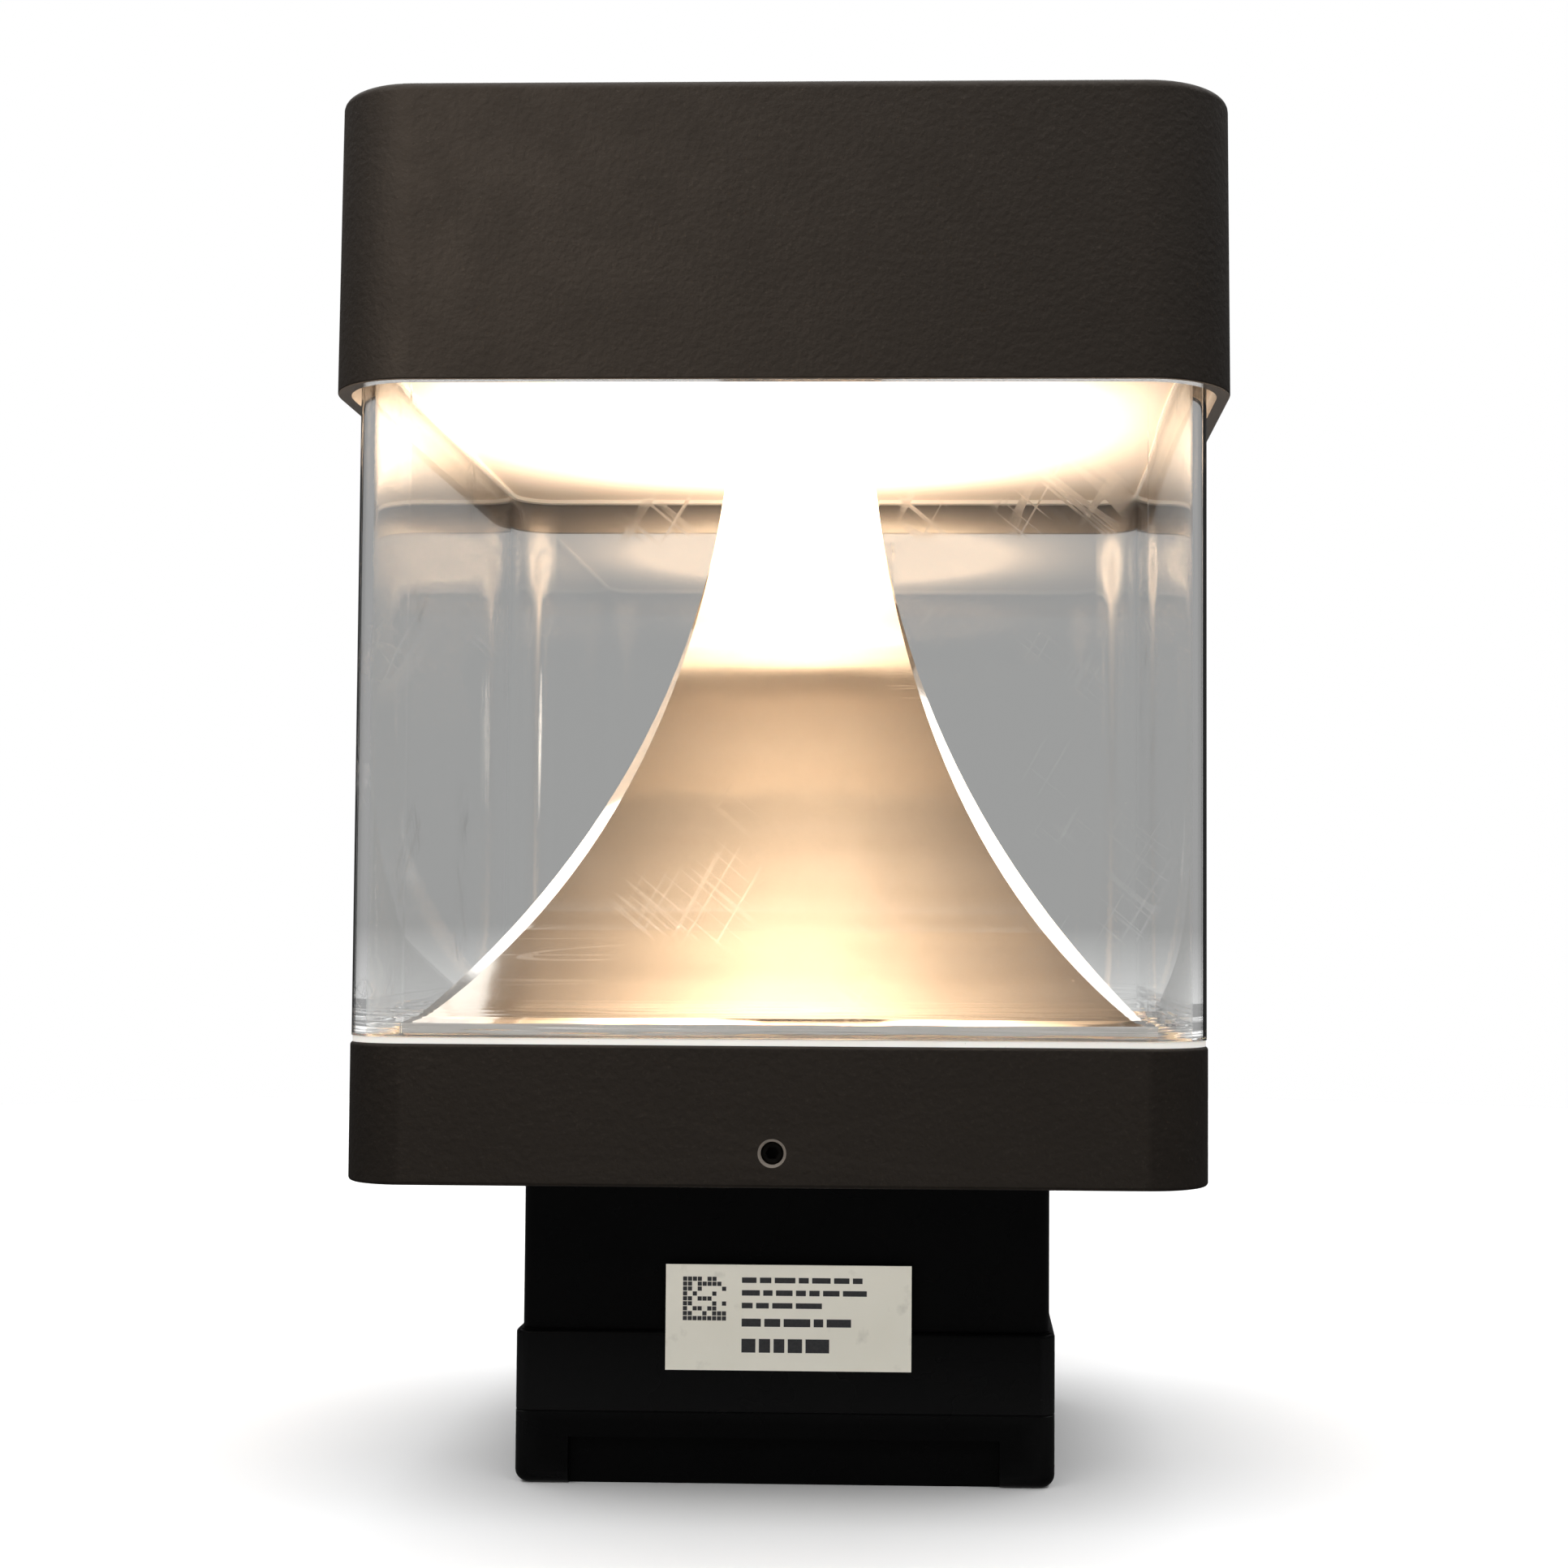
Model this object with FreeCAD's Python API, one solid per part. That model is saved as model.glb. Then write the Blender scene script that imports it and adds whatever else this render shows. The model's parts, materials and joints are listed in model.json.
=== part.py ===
import FreeCAD, Part
import math
import os

# Square bollard light head: a cap with the lamp in it, a clear lens, a mirrored flare,
# a collar that fits on the post, and the driver case that hangs inside the post.
# Millimetres. Z is up, and the origin is the centre of the driver case's underside.
# The front, with the rating label, faces -Y.

V = FreeCAD.Vector
UP = V(0, 0, 1)

# ---- driving dimensions -------------------------------------------------------------
CAP_WIDTH = 200.0
COLLAR_WIDTH = 190.0
COLLAR_HEIGHT = 30.5
DECK_TOP = 103.5            # top of the collar, where the lens stands
RIM_ABOVE_DECK = 144.0      # lower rim of the cap
CEILING_ABOVE_DECK = 153.0  # lit face of the lamp inside the cap
CAP_HEIGHT = 66.0
CASE_WIDTH = 125.5
CASE_DEPTH = 110.0
CASE_TOP = 72.0
FIT = 0.05                  # gap round a fastener in its own hole
M3 = 1.5                    # thread radius of each size of screw
M4 = 2.0
SCREW_HEAD_RADIUS = 1.9     # a screw's head, as multiples of its thread radius
SCREW_HEAD_HEIGHT = 1.3
SCREW_SOCKET_WIDTH = 1.25

# ---- cap and lamp -------------------------------------------------------------------
CAP_CORNER = 20.0
CAP_WALL = 3.0
CAP_TAPER = 0.5             # the top is this much smaller on each side
CAP_TOP_ROUND = 2.0
CAP_RIM_ROUND = 0.5
CAP_RIM = DECK_TOP + RIM_ABOVE_DECK
CAP_TOP = CAP_RIM + CAP_HEIGHT
CAP_INNER = CAP_WIDTH / 2 - CAP_WALL
CEILING = DECK_TOP + CEILING_ABOVE_DECK
RIB_THICKNESS = 2.5
RIB_HEIGHT = 9.0
CAP_BOSS_RADIUS = 6.0

DIFFUSER_THICKNESS = 2.0
TRAY_GAP = 0.4
TRAY_SHEET = 3.0
TRAY_PAN_HALF = 88.6
TRAY_PAN_CORNER = 9.0
TRAY_FLANGE_BASE = CEILING + DIFFUSER_THICKNESS
TRAY_ROOF_BASE = CEILING + 11.6
TRAY_TOP = TRAY_ROOF_BASE + TRAY_SHEET
TRAY_SCREW_AT = 72.0
TRAY_SCREW_LENGTH = 14.0

DIFFUSER_NECK_GAP = 0.6
DIFFUSER_RIM_GAP = 0.15
DIFFUSER_RIM_WALL = 2.0
DIFFUSER_RIM_HEIGHT = 4.0
LED_BOARD_THICKNESS = 1.6
LED_BOARD_RADIUS = 75.0
LED_BOARD_HOLE = 26.0
LED_SIZE = 3.0
LED_HEIGHT = 0.7
LED_RINGS = ((38.0, 16), (56.0, 24))    # radius and count of each ring of emitters
BOARD_SCREW_RADIUS = 68.0
BOARD_SCREW_LENGTH = 4.0

# ---- lens and its seals -------------------------------------------------------------
LENS_HALF = COLLAR_WIDTH / 2 - 0.3
LENS_CORNER = 14.0
LENS_WALL = 3.0
BASE_SEAL_THICKNESS = 1.4
TOP_SEAL_THICKNESS = 1.0
SEAL_SHRINK = 0.2           # the base seal stops this far inside the lens's outer face
SEAL_SPREAD = 0.4           # the top seal is this much wider than the lens's wall each way
BASE_SEAL_HALF_IN = 90.6
LENS_BASE = DECK_TOP + BASE_SEAL_THICKNESS
LENS_TOP = CEILING - TOP_SEAL_THICKNESS

# ---- mirrored flare -----------------------------------------------------------------
FLARE_RADIUS = 224.9        # radius of the hollow curve of each side
FLARE_AXIS_OUT = 242.3      # that curve's centre: distance from the middle
FLARE_AXIS_UP = 161.7       # and height above the deck
FLARE_HEIGHT = 161.0
FLARE_SHELL = 2.0
FLARE_FOOT = 5.3            # height above the deck where the curve meets the foot
FLARE_LIP_HALF = 84.0
FLARE_LIP_TOP = 4.1
FLARE_LIP_BASE = 1.6
FLARE_FLANGE_HALF = 90.2
FLARE_FLANGE_CORNER = 9.7
FLARE_FLANGE_EDGE = 0.9
FLARE_BEVEL_TOP = 0.5       # bevel on the four edges, cut depth at the top
FLARE_BEVEL_BASE = 1.7      # and at the foot
FLARE_BOSS_AT = 60.0
FLARE_BOSS_RADIUS = 4.0
FLARE_SCREW_LENGTH = 12.0

# ---- stem through the middle --------------------------------------------------------
STEM_RADIUS = 8.0
STEM_BORE = 5.5
STEM_CLEARANCE = 0.3
STEM_NUT_WIDTH = 24.0
STEM_NUT_HEIGHT = 8.0
STEM_THREAD_SHOWN = 3.0
WASHER_RADIUS = 15.0
WASHER_THICKNESS = 1.6
LEAD_RADIUS = 2.5
LEAD_BEND = 14.0
LEAD_ABOVE_STEM = 3.0
LEAD_TOP_RUN = 2.0
LEAD_CONNECTOR = (10.0, 9.0, 8.0)

# ---- collar -------------------------------------------------------------------------
COLLAR_CORNER = 14.5
COLLAR_WALL = 4.0
COLLAR_DECK = 3.0
COLLAR_ROUND = 0.8
COLLAR_RIM = DECK_TOP - COLLAR_HEIGHT
DECK_BASE = DECK_TOP - COLLAR_DECK
COLLAR_INNER = COLLAR_WIDTH / 2 - COLLAR_WALL
SET_SCREW_BELOW_DECK = 23.0
SET_SCREW_Z = DECK_TOP - SET_SCREW_BELOW_DECK
SET_SCREW_RADIUS = 2.5
SET_SCREW_LENGTH = 8.0
SET_SCREW_DEPTH = 1.0       # how far it sits below the outer face
SET_SCREW_CHAMFER = 0.6
SET_SCREW_KEY = 2.5
SET_SCREW_KEY_DEPTH = 3.0
SET_SCREW_END_CHAMFER = 0.4
SET_SCREW_GAP = 0.04
SCREW_BOSS_DEPTH = 6.0
SCREW_BOSS_WIDTH = 14.0
SCREW_BOSS_ABOVE_RIM = 1.5

# ---- bracket that carries the driver case -------------------------------------------
BRACKET_SHEET = 2.0
BRACKET_HALF_X = 40.0
BRACKET_HALF_Y = 30.0
BRACKET_FOOT = 13.0
BRACKET_SCREW = (46.5, 20.0)
DECK_SCREW = (28.0, 20.0)
DECK_NUT_HEIGHT = 3.2
DECK_NUT_WIDTH = 7.0
DECK_THREAD_SHOWN = 2.0
BRACKET_SCREW_LENGTH = 8.0
BRACKET_BEND = 1.8

# ---- driver case --------------------------------------------------------------------
CASE_CORNER = 3.5
CASE_NECK_WIDTH = 123.0     # width above the ledge
CASE_LEDGE = 35.5
CASE_PANEL_HALF = 51.5      # half width of the panel between the corner columns
CASE_COLUMN_INSET = 2.0     # the columns stand this far behind the panel
CASE_TOP_CHAMFER = 1.8
CASE_LEDGE_ROUND = 1.0
CASE_PANEL_CORNER = 1.2
CASE_CAVITY_CORNER = 2.0
CASE_BOSS_RADIUS = 3.2      # bosses for the bracket's screws, inside the case's roof
CASE_BOSS_DEPTH = 9.0
SCREW_HOLE_DEPTH = 8.0      # blind screw holes in the case and its lid
CASE_SPLIT = 17.0
CASE_SPLIT_GAP = 0.15
CASE_CAVITY_X = 58.8
CASE_CAVITY_Y = 50.6
CASE_ROOF = 2.5
LID_FLOOR = 3.0
LID_BASE_ROUND = 3.0
LID_PANEL_HALF = 50.0
LID_PANEL_DEPTH = 2.5
LID_PANEL_TOP = 11.0
LID_SCREW = (54.6, 46.4)
LID_BOSS_RADIUS = 4.6
LID_BOSS_TOP = 40.0
LID_EDGE_CHAMFER = 0.3
LID_SCREW_SEAT = 5.0        # depth of the counterbore for each lid screw's head
LID_SCREW_SINK = 3.4        # and its radius
LID_SCREW_REACH = 10.0      # how far the lid screws reach above the split
SEAL_CORNER = 3.0
SEAL_WIDTH = 1.6
SEAL_HEIGHT = 1.6
SEAL_INSET = 1.3            # from the case's inner wall to the seal

PCB_HALF = (49.0, 41.0)
PCB_BASE = 24.0
PCB_THICKNESS = 1.6
PCB_TOP = PCB_BASE + PCB_THICKNESS
PCB_SCREW = (42.0, 34.0)
PCB_POST_RADIUS = 3.2
PCB_SCREW_LENGTH = 8.0
POST_ROOT = 1.0             # where bosses and posts start inside the lid's floor

INLET_AT = (38.0, 30.0)     # X and Z of the supply inlet in the back wall
INLET_HOLE = 6.5
INLET_BORE = 4.0
GROMMET_LIP = 1.5
GROMMET_FLANGE = 2.0        # how far the grommet's lips reach past its hole
GROMMET_ROUND = 0.7
OUTLET_HOLE = 5.0

SELECTOR_X = {"power": -19.0, "colour": 4.0}
SELECTOR_Z = 54.0
SELECTOR_TRAVEL = 4.0       # each way from the middle of its three settings
KNOB_WIDTH = 3.6
KNOB_HEIGHT = 4.4
KNOB_RECESS = 0.8
KNOB_GROOVES = (-0.9, 0.0, 0.9)
KNOB_GROOVE = 0.4           # width and depth of the knob's grooves
KNOB_BACK_GAP = 0.1
TONGUE_LENGTH = 2.7
TONGUE_HALF = 1.2
SWITCH_HALF_HEIGHT = 4.5
SWITCH_SIDE_WALL = 2.5
SWITCH_SLOT_DEPTH = 3.0
SWITCH_SLOT_HALF = 1.5
SWITCH_BOARD_THICKNESS = 1.6
SWITCH_BOARD_EDGE = 10.0    # from a switch's middle to the end of its board
SWITCH_BOARD_Z = (46.0, 61.0)
SELECTOR_GAP = 0.3
SWITCH_DEPTH = 7.0

LABEL_X = (-27.5, 29.5)
LABEL_Z = (26.6, 50.9)
LABEL_THICKNESS = 0.25


# ---- helpers ------------------------------------------------------------------------
def block(x0, x1, y0, y1, z0, z1):
    return Part.makeBox(x1 - x0, y1 - y0, z1 - z0, V(x0, y0, z0))


def rod(x, y, z0, z1, radius):
    return Part.makeCylinder(radius, z1 - z0, V(x, y, z0), UP)


def outline(half_x, half_y, corner, z):
    """A closed rectangle with round corners, centred on the Z axis."""
    edges = []
    ix = half_x - corner
    iy = half_y - corner
    diagonal = corner * math.sqrt(0.5)
    for turn in range(4):
        cx, cy = ((ix, iy), (-ix, iy), (-ix, -iy), (ix, -iy))[turn]
        angle = math.radians(90 * turn)
        c, s = math.cos(angle), math.sin(angle)
        start = V(cx + corner * c, cy + corner * s, z)
        end = V(cx - corner * s, cy + corner * c, z)
        middle = V(cx + diagonal * (c - s), cy + diagonal * (s + c), z)
        edges.append(Part.Arc(start, middle, end).toShape())
    sides = [Part.makeLine(edges[k].Vertexes[-1].Point, edges[(k + 1) % 4].Vertexes[0].Point)
             for k in range(4)]
    return Part.Wire(Part.__sortEdges__(edges + sides))


def slab(half_x, half_y, corner, z0, z1):
    """A plate or block with round vertical corners."""
    return Part.Face(outline(half_x, half_y, corner, z0)).extrude(V(0, 0, z1 - z0))


def ring(outer, inner, corner, z0, z1):
    """A square ring with round corners and an even wall."""
    hole = slab(inner, inner, corner - (outer - inner), z0, z1)
    return slab(outer, outer, corner, z0, z1).cut(hole)


def four(x, y):
    """The four mirrored places of one point."""
    return [(x, y), (-x, y), (-x, -y), (x, -y)]


def edges_at(shape, z):
    """The edges that lie wholly at one height."""
    return [e for e in shape.Edges
            if abs(e.BoundBox.ZMin - z) < 0.01 and abs(e.BoundBox.ZMax - z) < 0.01]


def hex_prism(x, y, z0, z1, width):
    corner = width / math.sqrt(3)
    points = [V(x + corner * math.cos(math.radians(60 * k)),
                y + corner * math.sin(math.radians(60 * k)), z0) for k in range(7)]
    return Part.Face(Part.makePolygon(points)).extrude(V(0, 0, z1 - z0))


def pan_screw(x, y, seat, length, radius, points_up=True):
    """A pan-head screw with a hexagon socket. Its head bears on the height 'seat'."""
    head_height = radius * SCREW_HEAD_HEIGHT
    screw = rod(0, 0, -head_height, 0, radius * SCREW_HEAD_RADIUS)
    screw = screw.makeFillet(head_height * 0.45, edges_at(screw, -head_height))
    screw = screw.fuse(rod(0, 0, 0, length, radius))
    screw = screw.cut(hex_prism(0, 0, -head_height, -head_height * 0.35, radius * SCREW_SOCKET_WIDTH))
    screw = screw.removeSplitter()
    if not points_up:
        screw.rotate(V(0, 0, 0), V(1, 0, 0), 180)
    screw.translate(V(x, y, seat))
    return screw


def drilled_nut(x, y, z0, height, width, bore):
    return hex_prism(x, y, z0, z0 + height, width).cut(rod(x, y, z0, z0 + height, bore))


# ---- cap and lamp -------------------------------------------------------------------
def make_top_cap():
    half = CAP_WIDTH / 2
    top_half = half - CAP_TAPER
    shell = Part.makeLoft([outline(half, half, CAP_CORNER, CAP_RIM),
                           outline(top_half, top_half, CAP_CORNER - CAP_TAPER, CAP_TOP)], True, True)
    shell = shell.makeFillet(CAP_TOP_ROUND, edges_at(shell, CAP_TOP))
    shell = shell.makeFillet(CAP_RIM_ROUND, edges_at(shell, CAP_RIM))
    roof = CAP_TOP - CAP_WALL
    shell = shell.cut(slab(CAP_INNER, CAP_INNER, CAP_CORNER - CAP_WALL, CAP_RIM, roof))
    rib_base = roof - RIB_HEIGHT
    for x, y in four(TRAY_SCREW_AT, TRAY_SCREW_AT):
        boss = rod(x, y, TRAY_TOP, roof + 1, CAP_BOSS_RADIUS)
        shell = shell.fuse(boss).cut(rod(x, y, TRAY_TOP, TRAY_TOP + TRAY_SCREW_LENGTH, M4 + FIT))
    for sign in (-1, 1):
        at = sign * TRAY_SCREW_AT
        reach = CAP_INNER + 1
        across = block(-reach, reach, at - RIB_THICKNESS / 2, at + RIB_THICKNESS / 2, rib_base, roof + 1)
        along = block(at - RIB_THICKNESS / 2, at + RIB_THICKNESS / 2, -reach, reach, rib_base, roof + 1)
        shell = shell.fuse([across, along])
    return shell.removeSplitter()


def inside_cap(z0, z1):
    """A plate that just fills the cap's mouth."""
    half = CAP_INNER - TRAY_GAP
    return slab(half, half, CAP_CORNER - CAP_WALL - TRAY_GAP, z0, z1)


def make_led_tray():
    flange = inside_cap(TRAY_FLANGE_BASE, TRAY_FLANGE_BASE + TRAY_SHEET)
    pan = slab(TRAY_PAN_HALF, TRAY_PAN_HALF, TRAY_PAN_CORNER, TRAY_FLANGE_BASE, TRAY_TOP)
    inner = TRAY_PAN_HALF - TRAY_SHEET
    tray = flange.fuse(pan).cut(slab(inner, inner, TRAY_PAN_CORNER - TRAY_SHEET,
                                     TRAY_FLANGE_BASE, TRAY_ROOF_BASE))
    tray = tray.cut(rod(0, 0, TRAY_ROOF_BASE, TRAY_TOP, STEM_RADIUS + STEM_CLEARANCE))
    for x, y in four(TRAY_SCREW_AT, TRAY_SCREW_AT):
        tray = tray.cut(rod(x, y, TRAY_ROOF_BASE, TRAY_TOP, M4 + FIT))
    for x, y in board_screw_places():
        tray = tray.cut(rod(x, y, TRAY_ROOF_BASE, TRAY_TOP, M3 + FIT))
    return tray.removeSplitter()


def board_screw_places():
    offset = BOARD_SCREW_RADIUS * math.sqrt(0.5)
    return four(offset, offset)


def make_tray_screws():
    return Part.makeCompound([pan_screw(x, y, TRAY_ROOF_BASE, TRAY_SCREW_LENGTH, M4)
                        for x, y in four(TRAY_SCREW_AT, TRAY_SCREW_AT)])


def make_led_board():
    base = TRAY_ROOF_BASE - LED_BOARD_THICKNESS
    board = rod(0, 0, base, TRAY_ROOF_BASE, LED_BOARD_RADIUS)
    board = board.cut(rod(0, 0, base, TRAY_ROOF_BASE, LED_BOARD_HOLE))
    for x, y in board_screw_places():
        board = board.cut(rod(x, y, base, TRAY_ROOF_BASE, M3 + FIT))
    return board


def make_board_screws():
    base = TRAY_ROOF_BASE - LED_BOARD_THICKNESS
    return Part.makeCompound([pan_screw(x, y, base, BOARD_SCREW_LENGTH, M3)
                        for x, y in board_screw_places()])


def make_led_chips():
    top = TRAY_ROOF_BASE - LED_BOARD_THICKNESS
    chips = []
    for radius, count in LED_RINGS:
        for k in range(count):
            chip = block(radius - LED_SIZE / 2, radius + LED_SIZE / 2,
                         -LED_SIZE / 2, LED_SIZE / 2, top - LED_HEIGHT, top)
            chip.rotate(V(0, 0, 0), UP, 360.0 * (k + 0.5) / count)
            chips.append(chip)
    return Part.makeCompound(chips)


def make_diffuser():
    """A plate clamped between the tray and the lens, with a raised rim that fits the tray's mouth."""
    neck = flare_half_width(CEILING_ABOVE_DECK) + DIFFUSER_NECK_GAP
    plate = inside_cap(CEILING, TRAY_FLANGE_BASE)
    rim_half = TRAY_PAN_HALF - TRAY_SHEET - DIFFUSER_RIM_GAP
    rim = ring(rim_half, rim_half - DIFFUSER_RIM_WALL, TRAY_PAN_CORNER - TRAY_SHEET,
               TRAY_FLANGE_BASE, TRAY_FLANGE_BASE + DIFFUSER_RIM_HEIGHT)
    plate = plate.fuse(rim).removeSplitter()
    return plate.cut(slab(neck, neck, 1.0, CEILING, TRAY_FLANGE_BASE))


# ---- lens and seals -----------------------------------------------------------------
def make_lens():
    return ring(LENS_HALF, LENS_HALF - LENS_WALL, LENS_CORNER, LENS_BASE, LENS_TOP)


def make_base_seal():
    outer = LENS_HALF - SEAL_SHRINK
    return ring(outer, BASE_SEAL_HALF_IN, LENS_CORNER, DECK_TOP, LENS_BASE)


def make_top_seal():
    outer = LENS_HALF + SEAL_SPREAD
    inner = LENS_HALF - LENS_WALL - SEAL_SPREAD
    return ring(outer, inner, LENS_CORNER + SEAL_SPREAD, LENS_TOP, CEILING)


# ---- mirrored flare -----------------------------------------------------------------
def flare_half_width(height, shell=0.0):
    """Half width of the flare at a height above the deck, measured to its outer face less 'shell'."""
    drop = FLARE_AXIS_UP - height
    return FLARE_AXIS_OUT - math.sqrt((FLARE_RADIUS + shell) ** 2 - drop ** 2)


def flare_curve(low, high, shell=0.0, widen=1.0, cut_low=0.0, cut_high=0.0):
    """Three points on one side's curve from 'low' to 'high', as distance out and height."""
    points = []
    for share in (0.0, 0.5, 1.0):
        height = low + (high - low) * share
        cut = cut_low + (cut_high - cut_low) * share
        points.append((widen * flare_half_width(height, shell) - cut, height))
    return points


def swept_profile(foot, curve, direction):
    """A profile symmetric about the Z axis, swept right through the flare along 'direction'."""
    across = UP.cross(direction)

    def place(point, side):
        out, height = point
        return across * (side * out) + UP * (DECK_TOP + height)

    edges = []
    for side in (1, -1):
        low, middle, high = [place(p, side) for p in curve]
        edges.append(Part.Arc(low, middle, high).toShape())
        corners = [place(p, side) for p in foot] + [low]
        edges += [Part.makeLine(a, b) for a, b in zip(corners, corners[1:])]
    edges.append(Part.makeLine(place(foot[0], 1), place(foot[0], -1)))
    edges.append(Part.makeLine(place(curve[-1], 1), place(curve[-1], -1)))
    face = Part.Face(Part.Wire(Part.__sortEdges__(edges)))
    reach = direction * CAP_WIDTH
    face.translate(reach * -1)
    return face.extrude(reach * 2)


def make_reflector():
    foot = [(FLARE_FLANGE_HALF, 0), (FLARE_FLANGE_HALF, FLARE_FLANGE_EDGE),
            (FLARE_LIP_HALF, FLARE_LIP_BASE), (FLARE_LIP_HALF, FLARE_LIP_TOP)]
    sides = flare_curve(FLARE_FOOT, FLARE_HEIGHT)
    body = swept_profile(foot, sides, V(1, 0, 0))
    body = body.common(swept_profile(foot, sides, V(0, 1, 0)))
    root_two = math.sqrt(2)
    bevel = flare_curve(FLARE_FOOT, FLARE_HEIGHT, 0.0, root_two, FLARE_BEVEL_BASE, FLARE_BEVEL_TOP)
    bevel_foot = [(FLARE_FLANGE_HALF * root_two, 0),
                  (FLARE_FLANGE_HALF * root_two, FLARE_FLANGE_EDGE),
                  (FLARE_LIP_HALF * root_two - FLARE_BEVEL_BASE, FLARE_LIP_BASE),
                  (FLARE_LIP_HALF * root_two - FLARE_BEVEL_BASE, FLARE_LIP_TOP)]
    for sign in (1, -1):
        body = body.common(swept_profile(bevel_foot, bevel, V(1, sign, 0).normalize()))
    body = body.common(slab(FLARE_FLANGE_HALF, FLARE_FLANGE_HALF, FLARE_FLANGE_CORNER,
                            DECK_TOP, DECK_TOP + FLARE_HEIGHT))
    hollow_curve = flare_curve(0.0, FLARE_HEIGHT, FLARE_SHELL)
    hollow = swept_profile([(hollow_curve[0][0], -1.0)], hollow_curve, V(1, 0, 0))
    hollow = hollow.common(swept_profile([(hollow_curve[0][0], -1.0)], hollow_curve, V(0, 1, 0)))
    shell = body.cut(hollow)
    for x, y in four(FLARE_BOSS_AT, FLARE_BOSS_AT):
        boss = rod(x, y, DECK_TOP, DECK_TOP + FLARE_BOSS_AT, FLARE_BOSS_RADIUS).common(body)
        shell = shell.fuse(boss)
        shell = shell.cut(rod(x, y, DECK_TOP, DECK_TOP + FLARE_SCREW_LENGTH, M3 + FIT))
    return shell


def make_reflector_screws():
    return Part.makeCompound([pan_screw(x, y, DECK_BASE, FLARE_SCREW_LENGTH, M3)
                        for x, y in four(FLARE_BOSS_AT, FLARE_BOSS_AT)])


# ---- stem, its nuts and the lead inside it --------------------------------------------
STEM_NUT_TOP_BASE = TRAY_TOP + WASHER_THICKNESS
STEM_WASHER_LOW = DECK_BASE - BRACKET_SHEET - WASHER_THICKNESS
STEM_NUT_LOW_BASE = STEM_WASHER_LOW - STEM_NUT_HEIGHT
STEM_BASE = STEM_NUT_LOW_BASE - STEM_THREAD_SHOWN
STEM_TOP = STEM_NUT_TOP_BASE + STEM_NUT_HEIGHT + STEM_THREAD_SHOWN


def make_stem():
    tube = rod(0, 0, STEM_BASE, STEM_TOP, STEM_RADIUS)
    return tube.cut(rod(0, 0, STEM_BASE, STEM_TOP, STEM_BORE))


def make_stem_nuts():
    bore = STEM_RADIUS + FIT
    return Part.makeCompound([drilled_nut(0, 0, base, STEM_NUT_HEIGHT, STEM_NUT_WIDTH, bore)
                        for base in (STEM_NUT_LOW_BASE, STEM_NUT_TOP_BASE)])


def make_stem_washers():
    washers = []
    for base in (STEM_WASHER_LOW, TRAY_TOP):
        washer = rod(0, 0, base, base + WASHER_THICKNESS, WASHER_RADIUS)
        washers.append(washer.cut(rod(0, 0, base, base + WASHER_THICKNESS, STEM_RADIUS + FIT)))
    return Part.makeCompound(washers)


def make_led_lead():
    """From the driver board straight up the stem, over, and down to the lamp's connector."""
    bend_base = STEM_TOP + LEAD_ABOVE_STEM
    end_x = 2 * LEAD_BEND + LEAD_TOP_RUN
    quarter = LEAD_BEND * math.sqrt(0.5)
    rise = V(0, 0, bend_base)
    over = V(LEAD_BEND, 0, bend_base + LEAD_BEND)
    over_end = over + V(LEAD_TOP_RUN, 0, 0)
    fall = V(end_x, 0, bend_base)
    first = Part.Arc(rise, V(LEAD_BEND - quarter, 0, bend_base + quarter), over)
    second = Part.Arc(over_end, V(end_x - LEAD_BEND + quarter, 0, bend_base + quarter), fall)
    end = V(end_x, 0, TRAY_TOP + LEAD_CONNECTOR[2])
    path = Part.Wire([Part.makeLine(V(0, 0, PCB_TOP), rise), first.toShape(),
                      Part.makeLine(over, over_end), second.toShape(), Part.makeLine(fall, end)])
    section = Part.Wire(Part.makeCircle(LEAD_RADIUS, V(0, 0, PCB_TOP), UP))
    lead = path.makePipeShell([section], True, False)
    expected = math.pi * LEAD_RADIUS ** 2 * path.Length
    print("lead volume over its section times length:", round(lead.Volume / expected, 4))
    return lead


def make_lead_connector():
    wide, deep, high = LEAD_CONNECTOR
    x = 2 * LEAD_BEND + LEAD_TOP_RUN
    return block(x - wide / 2, x + wide / 2, -deep / 2, deep / 2, TRAY_TOP, TRAY_TOP + high)


# ---- collar and its set screws --------------------------------------------------------
def turned(shape, quarter_turns):
    """The front-facing shape turned to another side."""
    copy = shape.copy()
    copy.rotate(V(0, 0, 0), UP, 90.0 * quarter_turns)
    return copy


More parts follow.
